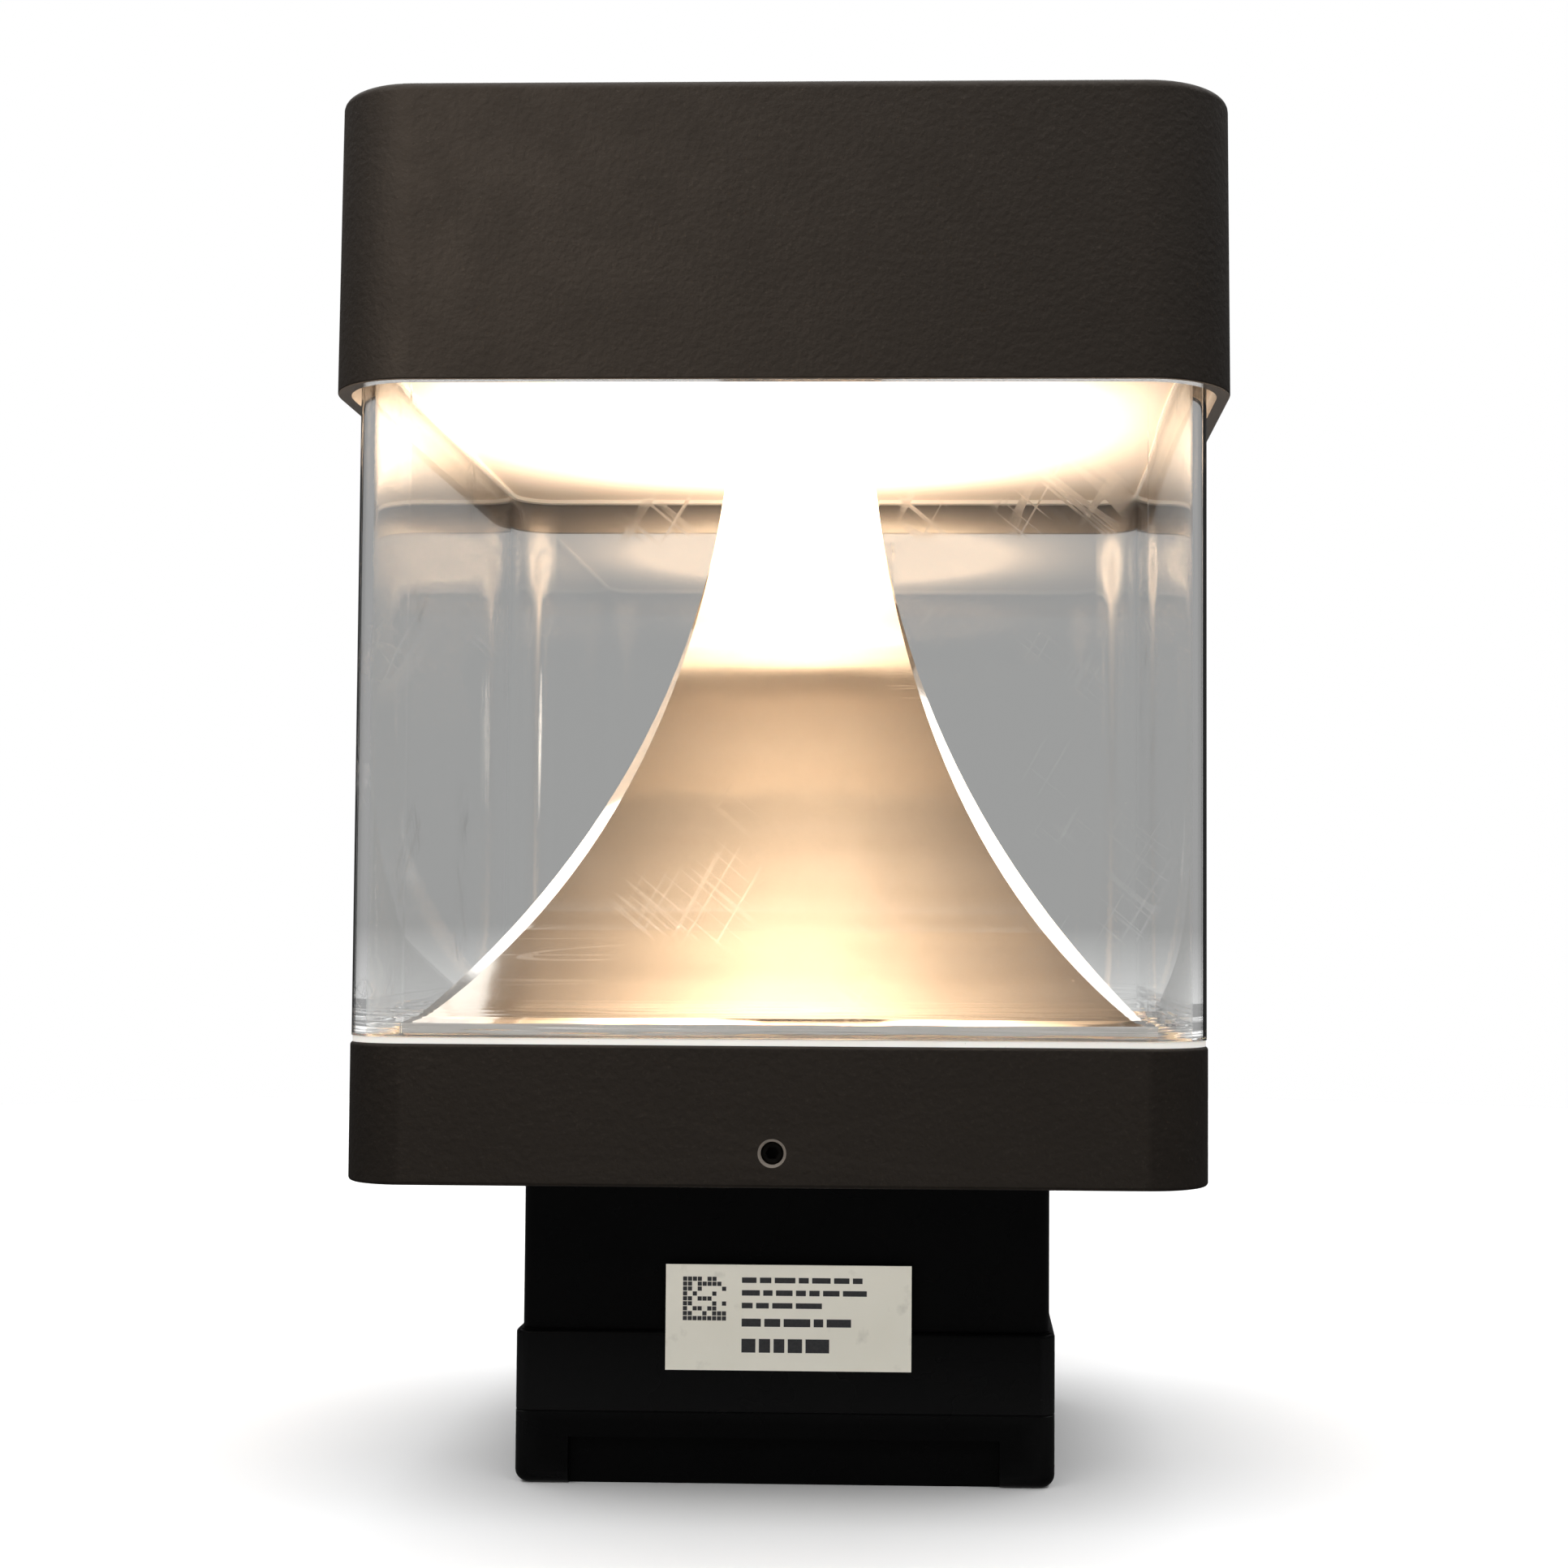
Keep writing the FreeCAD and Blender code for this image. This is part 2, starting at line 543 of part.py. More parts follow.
def make_collar():
    half = COLLAR_WIDTH / 2
    body = slab(half, half, COLLAR_CORNER, COLLAR_RIM, DECK_TOP)
    body = body.makeFillet(COLLAR_ROUND, edges_at(body, DECK_TOP) + edges_at(body, COLLAR_RIM))
    body = body.cut(slab(COLLAR_INNER, COLLAR_INNER, COLLAR_CORNER - COLLAR_WALL, COLLAR_RIM, DECK_BASE))
    boss_base = COLLAR_RIM + SCREW_BOSS_ABOVE_RIM
    boss_face = COLLAR_INNER - SCREW_BOSS_DEPTH
    boss = block(-SCREW_BOSS_WIDTH / 2, SCREW_BOSS_WIDTH / 2, -COLLAR_INNER - 1, -boss_face,
                 boss_base, DECK_BASE + 1)
    hole = Part.makeCylinder(SET_SCREW_RADIUS, half - boss_face, V(0, -half, SET_SCREW_Z), V(0, 1, 0))
    mouth = Part.makeCone(SET_SCREW_RADIUS + SET_SCREW_CHAMFER, SET_SCREW_RADIUS, SET_SCREW_CHAMFER,
                          V(0, -half, SET_SCREW_Z), V(0, 1, 0))
    for k in range(4):
        body = body.fuse(turned(boss, k))
    for k in range(4):
        body = body.cut(turned(hole, k)).cut(turned(mouth, k))
    body = body.cut(rod(0, 0, DECK_BASE, DECK_TOP, STEM_RADIUS + STEM_CLEARANCE))
    for x, y in four(FLARE_BOSS_AT, FLARE_BOSS_AT):
        body = body.cut(rod(x, y, DECK_BASE, DECK_TOP, M3 + FIT))
    for x, y in four(*DECK_SCREW):
        body = body.cut(rod(x, y, DECK_BASE, DECK_TOP, M4 + FIT))
    return body.removeSplitter()


def make_set_screw():
    """The front set screw, with its hexagon socket facing out."""
    radius = SET_SCREW_RADIUS - SET_SCREW_GAP
    screw = rod(0, 0, 0, SET_SCREW_LENGTH, radius)
    screw = screw.makeChamfer(SET_SCREW_END_CHAMFER, edges_at(screw, 0) + edges_at(screw, SET_SCREW_LENGTH))
    screw = screw.cut(hex_prism(0, 0, 0, SET_SCREW_KEY_DEPTH, SET_SCREW_KEY))
    screw.rotate(V(0, 0, 0), V(1, 0, 0), -90)
    screw.translate(V(0, -COLLAR_WIDTH / 2 + SET_SCREW_DEPTH, SET_SCREW_Z))
    return screw


# ---- bracket ----------------------------------------------------------------------------
def make_driver_bracket():
    """A bent sheet: a top plate against the deck, two legs, and two feet turned out."""
    bracket = block(-BRACKET_HALF_X, BRACKET_HALF_X, -BRACKET_HALF_Y, BRACKET_HALF_Y,
                    DECK_BASE - BRACKET_SHEET, DECK_BASE)
    for sign in (-1, 1):
        outer = sign * BRACKET_HALF_X
        inner = sign * (BRACKET_HALF_X - BRACKET_SHEET)
        toe = sign * (BRACKET_HALF_X + BRACKET_FOOT)
        leg = block(min(outer, inner), max(outer, inner), -BRACKET_HALF_Y, BRACKET_HALF_Y,
                    CASE_TOP, DECK_BASE)
        foot = block(min(inner, toe), max(inner, toe), -BRACKET_HALF_Y, BRACKET_HALF_Y,
                     CASE_TOP, CASE_TOP + BRACKET_SHEET)
        bracket = bracket.fuse([leg, foot])
    bracket = bracket.removeSplitter()
    bends = [e for e in bracket.Edges
             if e.BoundBox.YLength > 2 * BRACKET_HALF_Y - 1
             and abs(abs(e.CenterOfMass.x) - BRACKET_HALF_X) < 0.01
             and abs(e.CenterOfMass.z - DECK_BASE) < 0.01]
    bracket = bracket.makeFillet(BRACKET_BEND, bends)
    bracket = bracket.cut(rod(0, 0, CASE_TOP, DECK_BASE, STEM_RADIUS + STEM_CLEARANCE))
    for x, y in four(*DECK_SCREW):
        bracket = bracket.cut(rod(x, y, DECK_BASE - BRACKET_SHEET, DECK_BASE, M4 + FIT))
    for x, y in four(*BRACKET_SCREW):
        bracket = bracket.cut(rod(x, y, CASE_TOP, CASE_TOP + BRACKET_SHEET, M3 + FIT))
    return bracket


def make_bracket_screws():
    return Part.makeCompound([pan_screw(x, y, CASE_TOP + BRACKET_SHEET, BRACKET_SCREW_LENGTH, M3,
                                         points_up=False)
                        for x, y in four(*BRACKET_SCREW)])


def make_deck_screws():
    length = BRACKET_SHEET + COLLAR_DECK + DECK_NUT_HEIGHT + DECK_THREAD_SHOWN
    return Part.makeCompound([pan_screw(x, y, DECK_BASE - BRACKET_SHEET, length, M4)
                        for x, y in four(*DECK_SCREW)])


def make_deck_nuts():
    return Part.makeCompound([drilled_nut(x, y, DECK_TOP, DECK_NUT_HEIGHT, DECK_NUT_WIDTH, M4 + FIT)
                        for x, y in four(*DECK_SCREW)])


# ---- driver case ------------------------------------------------------------------------
def make_driver_case():
    half_x, half_y = CASE_WIDTH / 2, CASE_DEPTH / 2
    lower = slab(half_x, half_y, CASE_CORNER, CASE_SPLIT, CASE_LEDGE)
    lower = lower.makeFillet(CASE_LEDGE_ROUND, edges_at(lower, CASE_LEDGE))
    column_half = half_y - CASE_COLUMN_INSET
    upper = slab(CASE_NECK_WIDTH / 2, column_half, CASE_CORNER, CASE_LEDGE - 2, CASE_TOP)
    upper = upper.makeFillet(CASE_TOP_CHAMFER, edges_at(upper, CASE_TOP))
    panel = slab(CASE_PANEL_HALF, half_y, CASE_PANEL_CORNER, CASE_LEDGE - 2, CASE_TOP)
    panel = panel.makeChamfer(CASE_TOP_CHAMFER, edges_at(panel, CASE_TOP))
    case = lower.fuse([upper, panel]).removeSplitter()
    case = case.cut(slab(CASE_CAVITY_X, CASE_CAVITY_Y, CASE_CAVITY_CORNER, CASE_SPLIT, CASE_TOP - CASE_ROOF))
    for x, y in four(*LID_SCREW):
        case = case.fuse(rod(x, y, CASE_SPLIT, LID_BOSS_TOP, LID_BOSS_RADIUS))
        case = case.cut(rod(x, y, CASE_SPLIT, LID_BOSS_TOP - SCREW_HOLE_DEPTH, M3 + FIT))
    for x, y in four(*BRACKET_SCREW):
        boss = rod(x, y, CASE_TOP - CASE_BOSS_DEPTH, CASE_TOP - 1.0, CASE_BOSS_RADIUS)
        case = case.fuse(boss).cut(rod(x, y, CASE_TOP - SCREW_HOLE_DEPTH, CASE_TOP, M3 + FIT))
    case = case.cut(rod(0, 0, CASE_TOP - CASE_ROOF, CASE_TOP, OUTLET_HOLE))
    inlet = V(INLET_AT[0], CASE_CAVITY_Y - 1, INLET_AT[1])
    case = case.cut(Part.makeCylinder(INLET_HOLE, half_y - CASE_CAVITY_Y + 2, inlet, V(0, 1, 0)))
    for x in SELECTOR_X.values():
        case = case.cut(selector_window(x))
    return case.removeSplitter()


def selector_window(x):
    half_x = KNOB_WIDTH / 2 + SELECTOR_TRAVEL + SELECTOR_GAP
    half_z = KNOB_HEIGHT / 2 + SELECTOR_GAP
    return block(x - half_x, x + half_x, CASE_CAVITY_Y - 1, CASE_DEPTH / 2 + 1,
                 SELECTOR_Z - half_z, SELECTOR_Z + half_z)


def make_case_lid():
    half_x, half_y = CASE_WIDTH / 2, CASE_DEPTH / 2
    top = CASE_SPLIT - CASE_SPLIT_GAP
    lid = slab(half_x, half_y, CASE_CORNER, 0, top)
    lid = lid.makeFillet(LID_BASE_ROUND, edges_at(lid, 0))
    lid = lid.makeChamfer(LID_EDGE_CHAMFER, edges_at(lid, top))
    lid = lid.cut(slab(CASE_CAVITY_X, CASE_CAVITY_Y, CASE_CAVITY_CORNER, LID_FLOOR, top))
    for side in (-1, 1):
        near = side * (half_y - LID_PANEL_DEPTH)
        far = side * (half_y + 1)
        lid = lid.cut(block(-LID_PANEL_HALF, LID_PANEL_HALF, min(near, far), max(near, far),
                            -1, LID_PANEL_TOP))
    lid = lid.cut(lid_seal_shape(top - SEAL_HEIGHT, top))
    for x, y in four(*LID_SCREW):
        lid = lid.fuse(rod(x, y, POST_ROOT, top, LID_BOSS_RADIUS))
        lid = lid.cut(rod(x, y, 0, LID_SCREW_SEAT, LID_SCREW_SINK)).cut(rod(x, y, 0, top, M3 + FIT))
    for x, y in four(*PCB_SCREW):
        lid = lid.fuse(rod(x, y, POST_ROOT, PCB_BASE, PCB_POST_RADIUS))
        lid = lid.cut(rod(x, y, PCB_BASE - PCB_SCREW_LENGTH, PCB_BASE, M3 + FIT))
    return lid.removeSplitter()


def lid_seal_shape(z0, z1):
    x = CASE_CAVITY_X + SEAL_INSET
    y = CASE_CAVITY_Y + SEAL_INSET
    outer = slab(x + SEAL_WIDTH, y + SEAL_WIDTH, SEAL_CORNER, z0, z1)
    return outer.cut(slab(x, y, SEAL_CORNER - SEAL_WIDTH, z0, z1))


def make_lid_seal():
    return lid_seal_shape(CASE_SPLIT - CASE_SPLIT_GAP - SEAL_HEIGHT, CASE_SPLIT)


def make_lid_screws():
    length = CASE_SPLIT + LID_SCREW_REACH
    return Part.makeCompound([pan_screw(x, y, LID_SCREW_SEAT, length, M3) for x, y in four(*LID_SCREW)])


def make_rating_label():
    front = -CASE_DEPTH / 2
    return block(LABEL_X[0], LABEL_X[1], front - LABEL_THICKNESS, front, LABEL_Z[0], LABEL_Z[1])


def grommet(hole, bore, wall):
    """A rubber grommet along +Z, its wall groove from height 0 to 'wall'."""
    lip = hole + GROMMET_FLANGE
    top = wall + GROMMET_LIP
    body = rod(0, 0, 0, wall, hole).fuse([rod(0, 0, wall, top, lip), rod(0, 0, -GROMMET_LIP, 0, lip)])
    body = body.removeSplitter()
    body = body.makeFillet(GROMMET_ROUND, edges_at(body, top))
    return body.cut(rod(0, 0, -GROMMET_LIP - 1, top + 1, bore))


def make_inlet_grommet():
    piece = grommet(INLET_HOLE, INLET_BORE, CASE_DEPTH / 2 - CASE_CAVITY_Y)
    piece.rotate(V(0, 0, 0), V(1, 0, 0), -90)
    piece.translate(V(INLET_AT[0], CASE_CAVITY_Y, INLET_AT[1]))
    return piece


def make_outlet_grommet():
    piece = grommet(OUTLET_HOLE, LEAD_RADIUS + FIT, CASE_ROOF)
    piece.translate(V(0, 0, CASE_TOP - CASE_ROOF))
    return piece


# ---- driver electronics -----------------------------------------------------------------
def make_driver_board():
    half_x, half_y = PCB_HALF
    board = slab(half_x, half_y, 1.0, PCB_BASE, PCB_TOP)
    for x, y in four(*PCB_SCREW):
        board = board.cut(rod(x, y, PCB_BASE, PCB_TOP, M3 + FIT))
    return board


def make_driver_board_screws():
    return Part.makeCompound([pan_screw(x, y, PCB_TOP, PCB_SCREW_LENGTH, M3, points_up=False)
                        for x, y in four(*PCB_SCREW)])


TRANSFORMER_X = -24.0
TRANSFORMER_CORE = (32.0, 14.0, 28.0)
TRANSFORMER_LEG = 5.0
COIL_BULGE = 5.0            # how far the coil stands out in front of and behind the core
COIL_CORNER = 4.0
COIL_END_GAP = 0.2
COIL_SIDE_GAP = 0.4
LARGE_CANS = ((22.0, 12.0), (22.0, -10.0))
LARGE_CAN = (8.0, 30.0)     # radius and height
SMALL_CANS = ((38.0, -22.0), (38.0, -8.0))
SMALL_CAN = (5.0, 18.0)
CAN_ROUND = 0.8
CHOKE_AT = (2.0, 28.0)
CHOKE_RING = 8.0
CHOKE_WINDING = 3.5
SPREADER_X = (-34.0, 14.0)
SPREADER_BACK = -36.0
SPREADER_SHEET = 2.0
SPREADER_HEIGHT = 26.0
SPREADER_FOOT = 8.0
TRANSISTOR_X = (-22.0, 0.0)
TRANSISTOR_HALF = 5.0
TRANSISTOR_DEPTH = 4.5
TRANSISTOR_Z = (7.0, 22.0)  # above the board
TERMINAL_PITCH = 7.0
TERMINAL_X = 17.0
TERMINAL_Y = (26.0, 36.0)
TERMINAL_HEIGHT = 11.0
TERMINAL_MOUTH_HALF = 2.4
TERMINAL_MOUTH_DEPTH = 7.0
TERMINAL_MOUTH_Z = (2.0, 6.5)
TERMINAL_SCREW_HOLE = 2.2
TERMINAL_SCREW_DEPTH = 4.0


def make_transformer_core():
    """A closed core of two windows with a leg between them."""
    wide, deep, high = TRANSFORMER_CORE
    x0 = TRANSFORMER_X - wide / 2
    core = block(x0, x0 + wide, -deep / 2, deep / 2, PCB_TOP, PCB_TOP + high)
    window = wide / 2 - 2 * TRANSFORMER_LEG
    for start in (x0 + TRANSFORMER_LEG, TRANSFORMER_X + TRANSFORMER_LEG):
        core = core.cut(block(start, start + window, -deep, deep,
                              PCB_TOP + TRANSFORMER_LEG, PCB_TOP + high - TRANSFORMER_LEG))
    return core


def make_transformer_coil():
    wide, deep, high = TRANSFORMER_CORE
    leg = TRANSFORMER_LEG + FIT
    reach = wide / 2 - TRANSFORMER_LEG - COIL_SIDE_GAP
    z0 = PCB_TOP + TRANSFORMER_LEG + COIL_END_GAP
    z1 = PCB_TOP + high - TRANSFORMER_LEG - COIL_END_GAP
    coil = slab(reach, deep / 2 + COIL_BULGE, COIL_CORNER, z0, z1)
    coil = coil.cut(block(-leg, leg, -deep / 2 - FIT, deep / 2 + FIT, z0, z1))
    coil.translate(V(TRANSFORMER_X, 0, 0))
    return coil


def make_capacitors():
    solids = []
    for places, (radius, height) in ((LARGE_CANS, LARGE_CAN), (SMALL_CANS, SMALL_CAN)):
        for x, y in places:
            can = rod(x, y, PCB_TOP, PCB_TOP + height, radius)
            solids.append(can.makeFillet(CAN_ROUND, edges_at(can, PCB_TOP + height)))
    return Part.makeCompound(solids)


def make_inlet_choke():
    return Part.makeTorus(CHOKE_RING, CHOKE_WINDING, V(*CHOKE_AT, PCB_TOP + CHOKE_WINDING), UP)


def make_heat_spreader():
    """An upright plate with a foot along the board."""
    front = SPREADER_BACK + SPREADER_SHEET
    plate = block(*SPREADER_X, SPREADER_BACK, front, PCB_TOP, PCB_TOP + SPREADER_HEIGHT)
    foot = block(*SPREADER_X, SPREADER_BACK, SPREADER_BACK + SPREADER_FOOT, PCB_TOP, PCB_TOP + SPREADER_SHEET)
    return plate.fuse(foot).removeSplitter()


def make_power_transistors():
    face = SPREADER_BACK + SPREADER_SHEET
    low, high = TRANSISTOR_Z
    return Part.makeCompound([block(x - TRANSISTOR_HALF, x + TRANSISTOR_HALF, face, face + TRANSISTOR_DEPTH,
                                    PCB_TOP + low, PCB_TOP + high) for x in TRANSISTOR_X])


def make_terminal_block():
    """Three cable clamps in a row, open towards the inlet, with a screw hole over each."""
    y0, y1 = TERMINAL_Y
    top = PCB_TOP + TERMINAL_HEIGHT
    mouth_low, mouth_high = TERMINAL_MOUTH_Z
    body = block(TERMINAL_X, TERMINAL_X + 3 * TERMINAL_PITCH, y0, y1, PCB_TOP, top)
    for k in range(3):
        x = TERMINAL_X + TERMINAL_PITCH * (k + 0.5)
        body = body.cut(block(x - TERMINAL_MOUTH_HALF, x + TERMINAL_MOUTH_HALF, y1 - TERMINAL_MOUTH_DEPTH, y1,
                              PCB_TOP + mouth_low, PCB_TOP + mouth_high))
        body = body.cut(rod(x, (y0 + y1) / 2, top - TERMINAL_SCREW_DEPTH, top, TERMINAL_SCREW_HOLE))
    return body


def make_switch_bodies():
    """The two slide switches, each with the slot that its knob's tongue runs in."""
    solids = []
    slot = KNOB_WIDTH / 2 + SELECTOR_TRAVEL + SELECTOR_GAP
    half = KNOB_WIDTH / 2 + SELECTOR_TRAVEL + SWITCH_SIDE_WALL
    for x in SELECTOR_X.values():
        body = block(x - half, x + half, CASE_CAVITY_Y - SWITCH_DEPTH, CASE_CAVITY_Y,
                     SELECTOR_Z - SWITCH_HALF_HEIGHT, SELECTOR_Z + SWITCH_HALF_HEIGHT)
        body = body.cut(block(x - slot, x + slot, CASE_CAVITY_Y - SWITCH_SLOT_DEPTH, CASE_CAVITY_Y,
                              SELECTOR_Z - SWITCH_SLOT_HALF, SELECTOR_Z + SWITCH_SLOT_HALF))
        solids.append(body)
    return Part.makeCompound(solids)


def make_switch_board():
    """A small upright board behind the two switches."""
    xs = SELECTOR_X.values()
    face = CASE_CAVITY_Y - SWITCH_DEPTH
    return block(min(xs) - SWITCH_BOARD_EDGE, max(xs) + SWITCH_BOARD_EDGE, face - SWITCH_BOARD_THICKNESS, face,
                 *SWITCH_BOARD_Z)


def make_selector(x):
    """A ridged knob in its window, with a tongue that runs in the switch's slot."""
    outer = CASE_DEPTH / 2 - KNOB_RECESS
    inner = CASE_CAVITY_Y + KNOB_BACK_GAP
    half = KNOB_WIDTH / 2
    low, high = SELECTOR_Z - KNOB_HEIGHT / 2, SELECTOR_Z + KNOB_HEIGHT / 2
    knob = block(x - half, x + half, inner, outer, low, high)
    for offset in KNOB_GROOVES:
        middle = x + offset
        knob = knob.cut(block(middle - KNOB_GROOVE / 2, middle + KNOB_GROOVE / 2, outer - KNOB_GROOVE, outer,
                              low, high))
    tongue = block(x - half, x + half, inner - TONGUE_LENGTH, inner,
                   SELECTOR_Z - TONGUE_HALF, SELECTOR_Z + TONGUE_HALF)
    return knob.fuse(tongue).removeSplitter()


# ---- write every sub-part ---------------------------------------------------------------
def main():
    parts = {
        "top_cap": make_top_cap(),
        "led_tray": make_led_tray(),
        "tray_screws": make_tray_screws(),
        "led_board": make_led_board(),
        "led_chips": make_led_chips(),
        "led_board_screws": make_board_screws(),
        "diffuser": make_diffuser(),
        "lens": make_lens(),
        "lens_base_seal": make_base_seal(),
        "lens_top_seal": make_top_seal(),
        "reflector": make_reflector(),
        "reflector_screws": make_reflector_screws(),
        "stem_tube": make_stem(),
        "stem_nuts": make_stem_nuts(),
        "stem_washers": make_stem_washers(),
        "led_lead": make_led_lead(),
        "lead_connector": make_lead_connector(),
        "collar": make_collar(),
        "driver_bracket": make_driver_bracket(),
        "bracket_screws": make_bracket_screws(),
        "deck_screws": make_deck_screws(),
        "deck_nuts": make_deck_nuts(),
        "driver_case": make_driver_case(),
        "case_lid": make_case_lid(),
        "lid_seal": make_lid_seal(),
        "lid_screws": make_lid_screws(),
        "rating_label": make_rating_label(),
        "inlet_grommet": make_inlet_grommet(),
        "outlet_grommet": make_outlet_grommet(),
        "driver_board": make_driver_board(),
        "driver_board_screws": make_driver_board_screws(),
        "transformer_core": make_transformer_core(),
        "transformer_coil": make_transformer_coil(),
        "capacitors": make_capacitors(),
        "inlet_choke": make_inlet_choke(),
        "heat_spreader": make_heat_spreader(),
        "power_transistors": make_power_transistors(),
        "terminal_block": make_terminal_block(),
        "switch_board": make_switch_board(),
        "selector_switches": make_switch_bodies(),
        "power_selector": make_selector(SELECTOR_X["power"]),
        "colour_selector": make_selector(SELECTOR_X["colour"]),
    }
    front_screw = make_set_screw()
    for k, side in enumerate(("front", "right", "back", "left")):
        parts["set_screw_" + side] = turned(front_screw, k)

    os.makedirs("parts", exist_ok=True)
    for name, shape in parts.items():
        if not shape.isValid():
            print("not valid:", name)
        shape.exportStep("parts/" + name + ".step")
        print(name, len(shape.Solids), "solids", round(shape.Volume / 1000, 2), "cm3")


main()
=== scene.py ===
import json
import math
import random

import bmesh
import bpy
from mathutils import Euler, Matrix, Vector


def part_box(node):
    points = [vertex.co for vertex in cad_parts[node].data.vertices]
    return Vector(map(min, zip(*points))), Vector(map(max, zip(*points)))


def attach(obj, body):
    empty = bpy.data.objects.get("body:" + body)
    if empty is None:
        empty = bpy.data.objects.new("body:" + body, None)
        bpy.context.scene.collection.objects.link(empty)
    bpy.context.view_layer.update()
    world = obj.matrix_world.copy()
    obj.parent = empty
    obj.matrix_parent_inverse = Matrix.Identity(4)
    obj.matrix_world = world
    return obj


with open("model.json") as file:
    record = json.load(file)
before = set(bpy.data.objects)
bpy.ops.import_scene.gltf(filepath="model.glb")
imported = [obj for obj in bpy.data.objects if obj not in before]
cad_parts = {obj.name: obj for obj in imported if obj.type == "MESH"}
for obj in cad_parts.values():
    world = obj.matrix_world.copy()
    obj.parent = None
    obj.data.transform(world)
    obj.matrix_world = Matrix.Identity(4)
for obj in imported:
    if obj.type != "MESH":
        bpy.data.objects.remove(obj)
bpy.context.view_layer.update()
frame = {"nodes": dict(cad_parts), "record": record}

MM = 0.001
CAP_CORNER = 20.0 * MM      # radius of the cap's outer corners
SET_SCREW_RADIUS = 2.46 * MM

# ---- places worked out from the frame ---------------------------------------------------
CAP_LOW, CAP_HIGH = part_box("top_cap")
LENS_LOW, LENS_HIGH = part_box("lens")
OPAL_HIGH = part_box("diffuser")[1]
LABEL_LOW, LABEL_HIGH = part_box("rating_label")
SCREW_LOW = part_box("set_screw_front")[0]

# ---- camera -----------------------------------------------------------------------------
CAMERA_PLACE = (0.0391, -0.5931, 0.1294)
CAMERA_TURN = 1.63          # degrees to the left
CAMERA_LIFT = 2.46          # degrees upwards
CAMERA_ROLL = 0.32          # degrees anticlockwise
CAMERA_LENS = 53.0          # mm
CAMERA_SENSOR = 36.0        # mm wide
CAMERA_SHIFT = (-0.0673, 0.0277)


def make_camera():
    """A camera in front of the head, at the photo's viewing angle."""
    data = bpy.data.cameras.new("camera")
    data.sensor_width = CAMERA_SENSOR
    data.lens = CAMERA_LENS
    data.shift_x, data.shift_y = CAMERA_SHIFT
    camera = bpy.data.objects.new("camera", data)
    camera.location = CAMERA_PLACE
    tilt = Euler((math.radians(90 + CAMERA_LIFT), 0, math.radians(CAMERA_TURN)), "XYZ")
    roll = Euler((0, 0, math.radians(CAMERA_ROLL)), "XYZ")
    camera.rotation_mode = "QUATERNION"
    camera.rotation_quaternion = tilt.to_quaternion() @ roll.to_quaternion()
    bpy.context.scene.collection.objects.link(camera)
    bpy.context.scene.camera = camera


# ---- node helpers -----------------------------------------------------------------------
def add(tree, kind, inputs=None, **settings):
    """A shader node. Each input is a plain value or the output socket that feeds it."""
    made = tree.nodes.new("ShaderNode" + kind)
    for key, value in settings.items():
        setattr(made, key, value)
    for key, value in (inputs or {}).items():
        if isinstance(value, bpy.types.NodeSocket):
            tree.links.new(value, made.inputs[key])
        else:
            made.inputs[key].default_value = value
    return made


def place_in(tree, stretch=(1, 1, 1), turn=(0, 0, 0)):
    """The piece's own coordinates in metres, stretched and turned."""
    coordinates = add(tree, "TexCoord")
    angles = tuple(math.radians(a) for a in turn)
    mapping = add(tree, "Mapping", {"Vector": coordinates.outputs["Object"],
                                    "Scale": stretch, "Rotation": angles})
    return mapping.outputs["Vector"]


def noise(tree, scale, detail=3.0, stretch=(1, 1, 1)):
    """A soft random pattern between 0 and 1, finer as 'scale' grows."""
    made = add(tree, "TexNoise", {"Vector": place_in(tree, stretch), "Scale": scale, "Detail": detail})
    return made.outputs["Fac"]


def ramp(tree, value, low, high, out_low=0.0, out_high=1.0):
    """Goes in a straight line from out_low at low to out_high at high, and stays level beyond."""
    made = add(tree, "MapRange", {"Value": value, "From Min": low, "From Max": high,
                                  "To Min": out_low, "To Max": out_high})
    return made.outputs["Result"]


def mix(tree, share, first, second):
    """A blend of two colours: all of the first at share 0, and all of the second at 1."""
    made = add(tree, "Mix", data_type="RGBA")
    for socket, value in ((made.inputs[0], share), (made.inputs[6], first), (made.inputs[7], second)):
        if isinstance(value, bpy.types.NodeSocket):
            tree.links.new(value, socket)
        elif isinstance(value, tuple):
            socket.default_value = (*value, 1.0)
        else:
            socket.default_value = value
    return made.outputs[2]


def maths(tree, operation, first, second=0.0):
    """One Math node on two numbers or sockets."""
    made = add(tree, "Math", {0: first, 1: second}, operation=operation)
    return made.outputs[0]


def specks(tree, scale, size, keep=0.5):
    """Small round spots, 1 inside them. 'keep' is the share of cells that have one."""
    cells = add(tree, "TexVoronoi", {"Vector": place_in(tree), "Scale": scale, "Randomness": 1.0})
    near = maths(tree, "LESS_THAN", cells.outputs["Distance"], size)
    pick = add(tree, "SeparateColor", {"Color": cells.outputs["Color"]})
    chosen = maths(tree, "LESS_THAN", pick.outputs[0], keep)
    return maths(tree, "MULTIPLY", near, chosen)


SCRATCH_DRAW = 90           # how much longer than wide the hairlines' noise is


def drawn_out(tree, scale, turn):
    """A noise drawn out along the turned Z axis."""
    angles = tuple(math.radians(a) for a in turn)
    coordinates = add(tree, "TexCoord").outputs["Object"]
    stretch = (1, 1, SCRATCH_DRAW)
    along = add(tree, "Mapping", {"Vector": coordinates, "Rotation": angles, "Scale": stretch},
                vector_type="TEXTURE").outputs["Vector"]
    return add(tree, "TexNoise", {"Vector": along, "Scale": scale, "Detail": 0.0}).outputs["Fac"]


